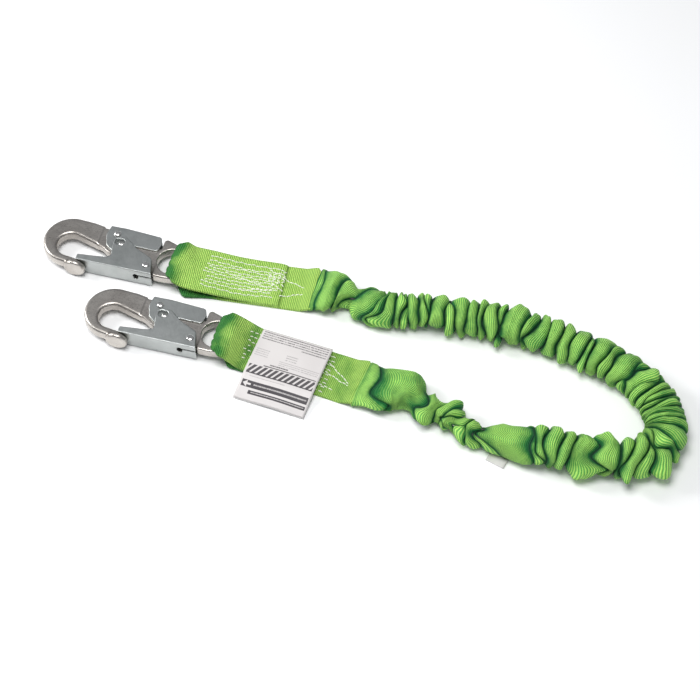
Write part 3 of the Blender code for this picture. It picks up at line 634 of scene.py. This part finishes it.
def strap_grid(side):
    """Rows of points along the whole strap: mouth, lower layer, loop, upper layer, tail."""
    across = np.linspace(-1.0, 1.0, 33)
    reach, plan, lefts = strap_line(side)
    total = reach[-1]
    rows = []
    mouth = np.array([*plan[-1], 5.6])
    run = np.array([lefts[-1][1], -lefts[-1][0], 0.0])
    left = np.array([*lefts[-1], 0.0])
    for inward, half in ((7.0, 16.0), (3.0, 18.0)):
        rows.append(mouth + run * inward + left * across[:, None] * half)
    for distance in np.arange(total - 1.0, 1.5, -1.5):
        row = strap_surface(side, "lower", np.full(across.shape, distance), across)
        row[:, 2] += (5.6 - LAYER_LOW) * ease(distance, total - 14.0, total)
        rows.append(row)
    bar = np.array([*plan[0], HOOK_MID])
    back = np.array([-lefts[0][1], lefts[0][0], 0.0])
    left = np.array([*lefts[0], 0.0])
    for angle in np.radians(np.arange(6.0, 168.0, 7.0)):
        pucker = math.sin(angle) * 0.55 * np.cos(across * 11.0)
        high_share = ease(-math.cos(angle), 0.3, 1.0)
        width = LOOP_WIDTH + (WEB_WIDTH - LOOP_WIDTH) * 0.62 * high_share
        radius = LOOP_RADIUS + pucker + 1.0 * high_share * np.abs(across) ** 3
        spoke = back * math.sin(angle) - np.array([0, 0, 1.0]) * math.cos(angle)
        rows.append(bar + spoke * radius[:, None] + left * (across * 0.5 * width)[:, None])
    for distance in np.arange(1.0, TAIL_LENGTH[side] + 0.1, 1.5):
        rows.append(strap_surface(side, "upper", np.full(across.shape, distance), across))
    return np.array(rows), across


def cloth_mesh(name, grid, along, around, painted_shade_and_tone=None, closed=False):
    """A quad sheet over a grid of points in mm, with its cloth map and its painted shade attribute."""
    rows, columns = grid.shape[:2]
    vertices = grid.reshape(-1, 3) * MM
    index = np.arange(rows * columns).reshape(rows, columns)
    last = columns if closed else columns - 1
    one, two = index[:-1, :], index[1:, :]
    step = np.roll(one, -1, axis=1), np.roll(two, -1, axis=1)
    faces = np.stack([one, step[0], step[1], two], axis=-1)[:, :last].reshape(-1, 4)
    mesh = bpy.data.meshes.new(name)
    mesh.from_pydata(vertices.tolist(), [], faces.tolist())
    u0 = np.repeat(along[:-1, None], last, axis=1)
    u1 = np.repeat(along[1:, None], last, axis=1)
    v0 = np.repeat(around[None, :last], rows - 1, axis=0)
    v1 = np.repeat(around[None, 1:last + 1], rows - 1, axis=0)
    uv = np.stack([np.stack([u0, v0], -1), np.stack([u0, v1], -1),
                   np.stack([u1, v1], -1), np.stack([u1, v0], -1)], axis=2)
    layer = mesh.uv_layers.new(name="cloth")
    layer.data.foreach_set("uv", (uv * MM).astype(np.float32).ravel())
    # painted shade: these values darken the cloth where low; without any they are all 1
    shade_and_tone_values = np.ones(rows * columns) if painted_shade_and_tone is None else painted_shade_and_tone.ravel()
    attribute = mesh.attributes.new("painted_shade_and_tone", 'FLOAT', 'POINT')
    attribute.data.foreach_set("value", shade_and_tone_values.astype(np.float32))
    return mesh


def path_lengths(grid):
    """Cloth length at each row: the middle half of the columns, averaged."""
    middle = grid[:, grid.shape[1] // 4: 3 * grid.shape[1] // 4]
    steps = np.linalg.norm(np.diff(middle, axis=0), axis=2).mean(axis=1)
    return np.concatenate([[0.0], np.cumsum(steps)])


def thicken(made, thickness):
    wall = made.modifiers.new("thickness", 'SOLIDIFY')
    wall.thickness, wall.offset = thickness * MM, 0.0


for side in "ab":
    grid, across = strap_grid(side)
    lengths = path_lengths(grid)
    along_upper = lengths[:, None] - (lengths[-1] - TAIL_LENGTH[side])
    # Painted shade: the strap is darkened round the loop and along the lower layer near the eye, and on b in the dip
    # before the label; b's lower layer far from the eye is made darker as well.
    shade = 0.3 + 0.7 * np.maximum(ease(along_upper + 3.0 * np.cos(4.0 * across), -8.0, 9.0),
                                   ease(-along_upper, 55.0, 80.0))
    if side == "b":
        shade = shade - 0.45 * lump(along_upper, 24.0, 7.0) - 0.24 * ease(-along_upper, 60.0, 80.0)
    mesh = cloth_mesh(f"end_strap_webbing_{side}", grid, lengths, (across + 1) * 0.5 * WEB_WIDTH,
                      shade)
    made = link(f"end_strap_webbing_{side}", mesh)
    mesh.materials.append(STRAP_GREEN.material)
    mesh.shade_smooth()
    thicken(made, WEB_THICK)
    bar = Vector((*bar_centre(side) * MM, HOOK_MID * MM))
    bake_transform(made)
    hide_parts(f"end_strap_{side}")

# ---------------------------------------------------------------- stitching
# White bonded polyester thread, lock-stitched by machine: rows of long stitches hold the
# doubled webbing together, a crossed cluster and a V close them, and short bars show on
# both sides of the label.
THREAD = Finish("white_thread", Roughness=0.6)
twist = THREAD.grain(2500.0, THREAD.place((1, 1, 1)), 2.0)
THREAD.colour(THREAD.blend(twist, (0.72, 0.76, 0.60, 1), (0.90, 0.92, 0.82, 1)))
THREAD.bump(twist, 0.00008, 0.6)

stitch_tree = Tree("stitch_rows", [("Geometry", "Geometry"), ("Stitch Length", "Float"),
                                   ("Gap", "Float"), ("Thread Radius", "Float"),
                                   ("Material", "Material")])
stitch_in = stitch_tree.inputs
stitch_pitch = stitch_tree.math('ADD', stitch_in["Stitch Length"], stitch_in["Gap"])
row_curves = stitch_tree.node('GeometryNodeMeshToCurve', Mesh=stitch_in["Geometry"]).outputs[0]
spaced = stitch_tree.node('GeometryNodeResampleCurve', {"mode": 'LENGTH'}, Curve=row_curves,
                          Length=stitch_pitch).outputs[0]
half_length = stitch_tree.math('MULTIPLY', stitch_in["Stitch Length"], 0.5)
sink = stitch_tree.math('MULTIPLY', stitch_in["Thread Radius"], -1.2)
ends = [stitch_tree.node('ShaderNodeCombineXYZ', X=x, Z=sink).outputs[0]
        for x in (stitch_tree.math('MULTIPLY', half_length, -1.0), half_length)]
crown = stitch_tree.node('ShaderNodeCombineXYZ', Z=stitch_tree.math(
    'MULTIPLY', stitch_in["Thread Radius"], 2.2)).outputs[0]
stitch_arch = stitch_tree.node('GeometryNodeCurveQuadraticBezier', Resolution=6, Start=ends[0],
                               Middle=crown, End=ends[1]).outputs[0]
ring = stitch_tree.node('GeometryNodeCurvePrimitiveCircle', Resolution=7,
                        Radius=stitch_in["Thread Radius"]).outputs[0]
stitch = stitch_tree.node('GeometryNodeCurveToMesh', Curve=stitch_arch, Profile_Curve=ring,
                          Fill_Caps=True).outputs[0]
facing = stitch_tree.node('FunctionNodeAlignRotationToVector', {"axis": 'X', "pivot_axis": 'Z'},
                          Vector=stitch_tree.node('GeometryNodeInputTangent').outputs[0]
                          ).outputs[0]
stitch_tree.end(stitch_tree.node('GeometryNodeInstanceOnPoints', Points=spaced, Instance=stitch,
                                 Rotation=facing).outputs[0])


def stitch_lines(side, lines, wave=0.0):
    """Polylines on the upper layer from (distance, across) corners; wave zigzags them."""
    mesh = bpy.data.meshes.new("rows")
    vertices, edges = [], []
    for line in lines:
        corners = np.array(line, float)
        reach = np.concatenate([[0], np.cumsum(np.linalg.norm(
            np.diff(corners * [1.0, 0.5 * WEB_WIDTH], axis=0), axis=1))])
        wanted = np.arange(0.0, reach[-1] + 0.01, 1.1)
        distance, across = (np.interp(wanted, reach, c) for c in corners.T)
        across = across + wave * np.sin(wanted * 1.05 + 7.0 * corners[0][1])
        layer = ["upper" if d <= TAIL_LENGTH[side] else "lower" for d in distance]
        start = len(vertices)
        for d, a, which in zip(distance, across, layer):
            point = strap_surface(side, which, np.array([d]), np.array([a]))[0]
            vertices.append((point + np.array([0, 0, 0.5 * WEB_THICK + 0.15])) * MM)
        edges += [(i, i + 1) for i in range(start, len(vertices) - 1)]
    mesh.from_pydata([tuple(v) for v in vertices], edges, [])
    return mesh


thread_rows = {"a": [], "b": []}
shake = random.Random(5)
for across in (0.72, 0.48, 0.36, 0.2, 0.08, -0.06, -0.22, -0.38, -0.54, -0.74):
    drift = shake.uniform(-0.05, 0.05)
    first, last = 27.5 + shake.uniform(-2.5, 2.5), 93.0 + shake.uniform(-6, 3)
    thread_rows["a"].append([(first, across + drift), (0.5 * (first + last), across - drift * 0.6),
                             (last, across * 0.94 + drift)])
for across in (0.60, 0.36, 0.1):
    thread_rows["a"].append([(84.0, across), (96.5, across - 0.34)])
    thread_rows["a"].append([(84.0, across - 0.3), (96.5, across + 0.04)])
thread_rows["a"] += [[(97.0, 0.34), (124.0, -0.05)], [(97.0, -0.5), (124.0, -0.12)],
                     [(60.0, -0.52), (92.0, -0.30)], [(52.0, 0.05), (80.0, -0.2)]]
for across in np.arange(-0.55, 0.75, 0.2):
    thread_rows["b"].append([(22.0 + shake.uniform(-2, 1), across), (30.0, across + 0.04)])
for across in np.arange(-0.8, 0.85, 0.2):
    thread_rows["b"].append([(93.0, across), (98.0 + shake.uniform(-1, 1.5), across - 0.03)])
thread_rows["b"] += [[(96.0, 0.45), (122.0, -0.22)], [(96.0, 0.05), (123.0, -0.30)],
                     [(96.0, -0.55), (106.0, -0.6)]]
for side, lines in thread_rows.items():
    mesh = stitch_tree.grow(stitch_lines(side, lines, 0.022), Stitch_Length=3.3 * MM,
                            Gap=0.7 * MM, Thread_Radius=0.46 * MM, Material=THREAD.material)
    place_piece(f"strap_stitching_{side}", mesh, THREAD, "webbing", "label_paper")

# ---------------------------------------------------------------- gathered jacket
# The tubular webbing jacket, woven like the straps and gathered on the elastic strands
# inside it into deep rounded folds, some of which pinch out on their way round. It lies
# on the floor; near both mouths it is twisted into a few larger folds.
# the third colour is the painted shade in the jacket's creases
JACKET_GREEN = ribbed("green_jacket_webbing", (0.50, 0.88, 0.18), (0.03, 0.34, 0.05),
                      (0.0, 0.065, 0.024), 1.5)
# plan x, y, half width, half height, fold depth, slant of the folds
JACKET_ROUTE = [
    (-31.0, 62.6, 24.6, 4.6, 1.0, 0.0), (-22.0, 60.0, 22.0, 8.0, 3.0, 0.0),
    (-14.0, 57.6, 20.0, 10.2, 6.0, 3.0), (-4.0, 54.0, 16.5, 11.2, 6.5, 7.0),
    (4.0, 49.5, 10.5, 9.6, 5.0, 11.0), (12.0, 44.5, 18.5, 10.6, 3.0, 13.0),
    (27.0, 36.5, 17.5, 12.0, 5.5, 6.0), (48.0, 34.5, 17.0, 13.0, 8.0, 0.0),
    (71.0, 32.5, 16.8, 13.0, 8.0, 0.0), (97.0, 27.0, 17.0, 13.5, 8.2, 0.0),
    (124.0, 22.0, 17.6, 13.5, 8.2, 0.0), (150.0, 15.0, 18.0, 13.5, 8.0, 0.0),
    (176.0, 5.0, 17.4, 13.5, 8.0, 0.0), (203.0, -9.0, 18.0, 13.5, 8.0, 0.0),
    (228.0, -23.5, 18.0, 13.5, 7.6, 0.0), (250.0, -44.0, 18.5, 13.5, 6.4, 0.0),
    (264.0, -68.0, 18.8, 13.5, 5.6, 0.0), (267.0, -93.0, 18.5, 13.5, 5.6, 0.0),
    (254.0, -113.0, 19.0, 13.2, 7.6, 8.0), (230.0, -120.0, 17.5, 13.5, 8.4, 8.0),
    (205.0, -116.5, 17.5, 13.5, 8.4, -7.0), (180.0, -111.0, 18.0, 13.5, 8.0, 4.0),
    (155.0, -106.5, 18.5, 12.6, 4.0, -2.0), (134.0, -102.0, 14.5, 10.8, 1.2, -6.0),
    (120.0, -98.8, 11.5, 10.6, 1.4, -6.0), (110.0, -95.4, 9.4, 9.4, 3.6, 0.0),
    (99.0, -90.0, 12.6, 10.6, 5.0, 2.0), (93.0, -83.0, 8.0, 9.0, 3.6, 3.0),
    (86.0, -76.0, 14.5, 11.2, 4.4, 7.0), (76.0, -71.5, 9.4, 9.6, 3.6, 5.0),
    (66.0, -68.0, 15.0, 11.2, 5.2, 4.0), (58.0, -60.5, 11.4, 9.4, 3.4, 2.0),
    (51.0, -53.0, 18.0, 10.6, 3.0, 2.0), (41.0, -48.0, 19.0, 10.2, 1.8, 1.0),
    (26.0, -45.5, 19.5, 9.4, 2.6, -7.0), (10.0, -38.8, 24.6, 4.6, 1.0, -7.0)]
# creases between the folds, as distances along the jacket
CREASES = [0.0, 5.0, 25.0, 42.0, 62.0, 69.0, 77.5, 82.5, 88.5, 97.5, 103.0, 108.5,
           122.5, 132.5, 143.0, 152.5, 161.0, 169.5, 175.0, 194.5, 203.0, 213.5, 226.5, 238.0,
           250.0, 257.0, 268.0, 279.0, 296.0, 304.0, 312.0, 320.0, 326.5, 332.0, 337.0, 342.5,
           348.0, 353.5, 360.0, 367.0, 375.0, 387.0, 399.0, 407.0, 417.0, 436.0, 458.0, 466.0, 477.0,
           486.0, 490.0, 525.0, 531.0, 541.0, 547.0, 558.0, 568.0, 574.0, 588.0, 640.0, 652.0]
# lobes that bulge from the outer (+1) or inner (-1) edge: distance, side, size, spread
LOBES = [(20.0, -1, 3.0, 7.0), (126.0, -1, 3.0, 4.0), (172.0, -1, 7.5, 5.0), (184.0, 1, 4.0, 8.0),
         (232.0, -1, 2.5, 5.0), (254.0, -1, 3.5, 5.0), (284.0, -1, 3.0, 6.0), (262.0, 1, 2.5, 6.0),
         (308.0, 1, 2.0, 4.0), (340.0, 1, 2.0, 4.0), (388.0, 1, 6.0, 9.0), (402.0, -1, 2.0, 5.0),
         (412.0, 1, 6.5, 4.5), (428.0, -1, 7.5, 11.0), (447.0, 1, 6.0, 12.0), (471.0, -1, 1.5, 6.0),
         (516.0, -1, 4.0, 8.0), (538.0, 1, 3.0, 5.0), (552.0, 1, 2.0, 4.0), (562.0, -1, 3.0, 5.0), (582.0, 1, 4.0, 6.0),
         (610.0, -1, 2.0, 7.0), (627.0, 1, 6.5, 9.0)]
AROUND, PER_FOLD = 84, 16


def jacket_grid():
    shake = np.random.default_rng(11)
    reach, route = smooth_route([(x + ORIGIN_SHIFT.x, y + ORIGIN_SHIFT.y, *rest)
                                 for x, y, *rest in JACKET_ROUTE], 0.5)
    run = np.gradient(route[:, :2], axis=0)
    run /= np.linalg.norm(run, axis=1)[:, None]
    total = reach[-1]
    theta = np.linspace(0.0, 2 * math.pi, AROUND, endpoint=False) - 0.5 * math.pi
    creases = np.array(CREASES) * total / CREASES[-1]
    count = len(creases)
    pitch = np.gradient(creases)

    def waves(rows, terms, falloff=1.0):
        """Smooth random curves round the tube, one row each, about -1 to 1."""
        made = np.zeros((rows, AROUND))
        for k in range(1, terms + 1):
            phase, size = shake.uniform(0, 2 * math.pi, (rows, 1)), shake.normal(0, 1, (rows, 1))
            made += size * np.cos(k * theta[None] + phase) / k ** falloff
        return made

    slant = np.interp(creases, reach, route[:, 5])
    valley = (creases[:, None] + slant[:, None] * np.cos(theta)[None]
              + 0.12 * pitch[:, None] * (1.0 + 0.8 * ease(pitch, 10.0, 18.0))[:, None]
              * waves(count, 4, 0.8))
    for n in range(3, count - 4):
        width = creases[n + 1] - creases[n]
        if width < 14.0 and shake.random() < 0.6:
            apart = np.angle(np.exp(1j * (theta - shake.uniform(0.0, math.pi))))
            pinch = 0.85 * width * np.exp(-(apart / shake.uniform(0.4, 0.9)) ** 2)
            if shake.random() < 0.5:
                valley[n] += pinch
            else:
                valley[n + 1] -= pinch
    valley[0], valley[-1] = 0.0, total
    for n in range(1, count):
        valley[n] = np.maximum(valley[n], valley[n - 1] + 0.9)
    valley = np.minimum(valley, total - (count - 1 - np.arange(count))[:, None] * 0.5)
    puff = 0.16 * waves(count - 1, 4, 0.7)
    lean = waves(count - 1, 3, 1.0)
    skew = shake.uniform(-1.0, 1.0, count - 1)
    spots, shade_and_tone_values = [], []
    for n in range(count - 1):
        wide = valley[n + 1] - valley[n]
        broad = ease(creases[n + 1] - creases[n], 12.0, 26.0)
        steps = np.linspace(0.0, 1.0, PER_FOLD, endpoint=False)
        for t in steps:
            round_share = 0.45 * (1 - broad)
            across = round_share * 0.5 * (1 - math.cos(math.pi * t)) + (1 - round_share) * t
            height = math.sin(math.pi * t) ** (1.1 - 0.6 * broad)
            place = valley[n] + wide * across
            place = place - 0.07 * wide * math.sin(2 * math.pi * across) * (1 - broad)
            place = place + 0.9 * lean[n] * height + 0.5 * skew[n] * height
            ripple = 0.09 * np.sin(2 * math.pi * (1.5 + 2.0 * broad) * across + 3 * skew[n]
                                   + 2.0 * lean[n])
            size = np.clip(wide / 8.0, 0.0, 1.0) ** 0.6
            spots.append((place, height * size * (1.0 + puff[n]) * (1.0 + ripple)))
            # Painted shade: the value falls from the crest to 0 in the creases, darkening them. tone adds a random
            # lightness per fold, more on puffed folds; the last folds by strap b's mouth are set darker.
            tone = 0.94 + 0.06 * skew[n] + 0.3 * puff[n] if n < count - 3 else 0.86
            shade_and_tone_values.append(np.clip(tone * height * size, 0.6 * (n == count - 2 and t > 0.5), 1.0))
    spots.append((valley[-1], np.zeros(AROUND)))
    shade_and_tone_values.append(np.full(AROUND, 0.6))
    rows = []
    for place, height in spots:
        place = np.clip(place, 0.0, total)
        x, y, half_width, half_height, depth = (np.interp(place, reach, route[:, k])
                                                for k in range(5))
        run_x, run_y = (np.interp(place, reach, run[:, k]) for k in range(2))
        size = np.hypot(run_x, run_y)
        left = np.stack([-run_y / size, run_x / size], axis=1)
        up_inset = np.minimum(depth * (1.0 - height), half_height - 5.8)
        side_inset = np.minimum(0.6 * depth * (1.0 - height), half_width - 7.4)
        for spot, side, push, spread in LOBES:
            facing = np.clip(side * np.cos(theta), 0.0, 1.0) ** 1.5
            side_inset = side_inset - push * facing * lump(place, spot, spread) * height
        square = 0.9
        side_way = np.sign(np.cos(theta)) * np.abs(np.cos(theta)) ** square
        up_way = np.sign(np.sin(theta)) * np.abs(np.sin(theta)) ** square
        plan = np.stack([x, y], axis=1) + left * ((half_width - side_inset) * side_way)[:, None]
        z = (half_height - 0.6) + (half_height - up_inset) * up_way
        rows.append(np.concatenate([plan, z[:, None]], axis=1))
    grid = np.array(rows)
    outward = np.stack([np.cos(theta), np.sin(theta)], axis=1)
    for i in range(grid.shape[0]):
        for j in range(AROUND):
            spot = Vector(grid[i, j])
            push = 1.1 * noise.noise(spot / 17.0) + 0.8 * noise.noise(spot / 6.0)
            grid[i, j, 2] += push * outward[j, 1]
            grid[i, j, 1] += 0.7 * push * outward[j, 0]
    low = grid[:, :, 2] < 1.2
    grid[:, :, 2] = np.where(low, 0.35 + 0.85 * np.exp((grid[:, :, 2] - 1.2) / 0.85), grid[:, :, 2])
    return grid, np.array(shade_and_tone_values)


grid, shade_and_tone_values = jacket_grid()
lengths = path_lengths(grid)
around = np.linspace(0.0, 2 * WEB_WIDTH, AROUND + 1)
mesh = cloth_mesh("jacket_gathered", grid, lengths, around, shade_and_tone_values, closed=True)
mesh.materials.append(JACKET_GREEN.material)
mesh.shade_smooth()
made = link("jacket_gathered", mesh)
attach(made, "webbing")
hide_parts("jacket")

# ---------------------------------------------------------------- core and strands
# Inside the jacket: a band of undyed partly drawn yarn that takes the fall, and two
# black rubber strands that gather the jacket.
YARN = Finish("undyed_core_yarn", Roughness=0.85)
strand = YARN.grain(900.0, YARN.place((1, 1, 1)), 4.0, 0.7)
YARN.colour(YARN.blend(strand, (0.60, 0.58, 0.50, 1), (0.78, 0.76, 0.68, 1)))
YARN.bump(strand, 0.0003, 0.6)
GUM = Finish("black_rubber", Roughness=0.7)
skin = GUM.grain(700.0, GUM.place((1, 1, 1)), 3.0)
GUM.colour(GUM.blend(skin, (0.03, 0.03, 0.03, 1), (0.07, 0.07, 0.07, 1)))
GUM.bump(skin, 0.0001, 0.5)
for node, finish in (("energy_core", YARN), ("elastic_strand_inner", GUM),
                     ("elastic_strand_outer", GUM)):
    frame["nodes"][node].data.materials.clear()
    frame["nodes"][node].data.materials.append(finish.material)

# ---------------------------------------------------------------- label
# A booklet of printed synthetic paper sewn across strap b, its lower part hanging over
# the strap's edge down to the floor. The print is generic: rules, blocks and an arrow.
LABEL_WIDE, LABEL_LONG, LABEL_THICK, LABEL_ALONG = 65.0, 72.0, 0.35, 61.5
PRINT = Finish("printed_synthetic_paper", Roughness=0.5)
page = PRINT.node("SeparateXYZ", Vector=PRINT.node("UVMap", {"uv_map": "cloth"}).outputs[0])
page_u = PRINT.math('DIVIDE', page.outputs["Y"], LABEL_WIDE * MM)
page_v = PRINT.math('DIVIDE', page.outputs["X"], LABEL_LONG * MM)


def band(value, low, high, edge=0.002):
    """1 between two limits."""
    return PRINT.math('MULTIPLY', PRINT.remap(value, low - edge, low + edge, 0.0, 1.0),
                      PRINT.remap(value, high - edge, high + edge, 1.0, 0.0))


def patch(left, right, top, bottom):
    return PRINT.math('MULTIPLY', band(page_u, left, right), band(page_v, top, bottom))


def rules(left, right, top, bottom, count, ink):
    """Lines of small dashes that stand for small print."""
    line = PRINT.math('MULTIPLY', PRINT.math('SUBTRACT', page_v, top), count / (bottom - top))
    body = band(PRINT.math('FRACT', line), 0.2, 0.62, 0.05)
    cell = PRINT.node("CombineXYZ", X=PRINT.math('MULTIPLY', page_u, 150.0),
                      Y=PRINT.math('MULTIPLY', PRINT.math('FLOOR', line), 13.7)).outputs[0]
    dashes = PRINT.remap(PRINT.grain(1.0, cell, 1.0), 0.42, 0.47, 0.0, ink)
    return PRINT.math('MULTIPLY', PRINT.math('MULTIPLY', body, dashes),
                      patch(left, right, top, bottom))


marks = [rules(0.03, 0.97, 0.02, 0.15, 4, 0.85), rules(0.62, 0.97, 0.15, 0.19, 1, 0.7),
         rules(0.03, 0.22, 0.28, 0.40, 4, 0.35), rules(0.46, 0.62, 0.27, 0.37, 3, 0.4),
         rules(0.40, 0.96, 0.38, 0.46, 3, 0.35), rules(0.30, 0.56, 0.46, 0.50, 1, 0.95),
         rules(0.10, 0.60, 0.68, 0.70, 1, 0.4)]
slope = PRINT.math('ADD', PRINT.math('MULTIPLY', page_u, 13.0),
                   PRINT.math('MULTIPLY', page_v, 9.0))
bars = band(PRINT.math('FRACT', slope), 0.0, 0.62, 0.02)
marks.append(PRINT.math('MULTIPLY', patch(0.03, 0.97, 0.525, 0.655), PRINT.math(
    'MAXIMUM', PRINT.math('MULTIPLY', bars, 0.93), patch(0.03, 0.97, 0.64, 0.655))))
marks.append(PRINT.math('MULTIPLY', patch(0.22, 0.97, 0.50, 0.513), 0.9))
head = PRINT.math('SUBTRACT', PRINT.math('SUBTRACT', page_u, 0.045), PRINT.math(
    'MULTIPLY', PRINT.math('ABSOLUTE', PRINT.math('SUBTRACT', page_v, 0.79)), 1.4))
arrow = PRINT.math('MULTIPLY', band(head, 0.0, 1.0), patch(0.0, 0.105, 0.7, 0.9))
arrow = PRINT.math('MAXIMUM', arrow, patch(0.10, 0.16, 0.778, 0.802))
bar = PRINT.math('SUBTRACT', patch(0.03, 0.97, 0.745, 0.835), arrow)
marks.append(PRINT.math('SUBTRACT', bar, rules(0.20, 0.95, 0.77, 0.812, 1, 0.7)))
marks.append(PRINT.math('SUBTRACT', patch(0.16, 0.97, 0.865, 0.915),
                        rules(0.20, 0.95, 0.875, 0.905, 1, 0.7)))
ink = marks[0]
for mark in marks[1:]:
    ink = PRINT.math('MAXIMUM', ink, mark)
paper = PRINT.grain(40.0, PRINT.place((1, 1, 1)), 3.0)
PRINT.colour(PRINT.blend(ink, PRINT.blend(paper, (0.58, 0.55, 0.54, 1), (0.68, 0.65, 0.64, 1)),
                         (0.03, 0.025, 0.03, 1)))
PRINT.bump(PRINT.grain(1500.0, PRINT.place((1, 1, 1)), 2.0), 0.00003, 0.5)


def label_page(name, reach, drop, start, flat):
    """One page: a sheet that follows the strap and then hangs down to the floor."""
    distance, plan, lefts = strap_line("b")
    run = (plan[-1] - plan[0]) / np.linalg.norm(plan[-1] - plan[0])
    left = np.array([-run[1], run[0]])
    middle = plan[0] + run * LABEL_ALONG
    half_web = 0.5 * WEB_WIDTH
    rest = LAYER_HIGH + 0.5 * WEB_THICK + drop
    side_way = np.array([half_web + 1.0, half_web - 2.0, 0.0, -half_web - 1.0, -half_web - 6.0,
                         half_web - reach + 8.0, half_web - reach])
    height = np.array([rest - 0.2, rest, rest + 0.5, rest, rest - 1.2, 1.9 + drop, 1.1 + drop])
    _, profile = smooth_route(np.stack([-side_way, height], axis=1), 1.5)
    along = np.linspace(-0.5, 0.5, 34) * LABEL_WIDE
    rows = []
    for k, (side_step, z) in enumerate(profile):
        curl = 0.5 * (k / len(profile)) ** 3
        points = middle - left * side_step + run * along[:, None]
        lift = curl * (1.0 + np.cos(along / LABEL_WIDE * 5.0))
        lift = lift + 0.25 * np.sin(along * 0.13 + 1.0) * (0.4 + k / len(profile))
        rows.append(np.concatenate([points, np.full((34, 1), z) + lift[:, None] + 0.3], axis=1))
    grid = np.array(rows)[start:]
    lengths = path_lengths(grid)
    mesh = cloth_mesh(name, grid, lengths * LABEL_LONG / lengths[-1],
                      np.linspace(0.0, LABEL_WIDE, 34))
    mesh.materials.append(flat.material)
    mesh.shade_smooth()
    made = link(name, mesh)
    thicken(made, LABEL_THICK)
    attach(made, "webbing")
    return made, float(lengths[-1])


PLAIN = Finish("plain_synthetic_paper", Roughness=0.5)
fibres = PLAIN.grain(300.0, PLAIN.place((1, 1, 1)), 3.0)
PLAIN.colour(PLAIN.blend(fibres, (0.58, 0.56, 0.55, 1), (0.68, 0.66, 0.65, 1)))
PLAIN.bump(fibres, 0.00005, 0.4)
for name, reach, drop, finish in (("label_front", LABEL_LONG, 0.8, PRINT),
                                  ("label_back", LABEL_LONG + 0.6, 0.0, PLAIN)):
    made, long = label_page(name, reach, drop, 0, finish)
    if name == "label_front":
        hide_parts("label")

# ---------------------------------------------------------------- inspection tag
# A small tab of the same paper, under the jacket's tapered fold.
TAG_LONG, TAG_WIDE = 17.0, 10.0
tag_low, tag_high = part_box("inspection_tag")
tag_middle = 0.5 * (tag_low + tag_high) / MM
tag_turn = Matrix.Rotation(math.radians(-32.0), 3, 'Z')
rows = []
for u in np.linspace(-0.5, 0.5, 12):
    rows.append([tag_middle + tag_turn @ Vector((u * TAG_LONG, v * TAG_WIDE,
                                                 0.25 * math.sin(6 * u + 2 * v)))
                 for v in np.linspace(-0.5, 0.5, 8)])
grid = np.array(rows)
mesh = cloth_mesh("inspection_tab", grid, path_lengths(grid), np.linspace(0.0, TAG_WIDE, 8))
mesh.materials.append(PLAIN.material)
mesh.shade_smooth()
made = link("inspection_tab", mesh)
thicken(made, 0.4)
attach(made, "webbing")
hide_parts("inspection_tag")
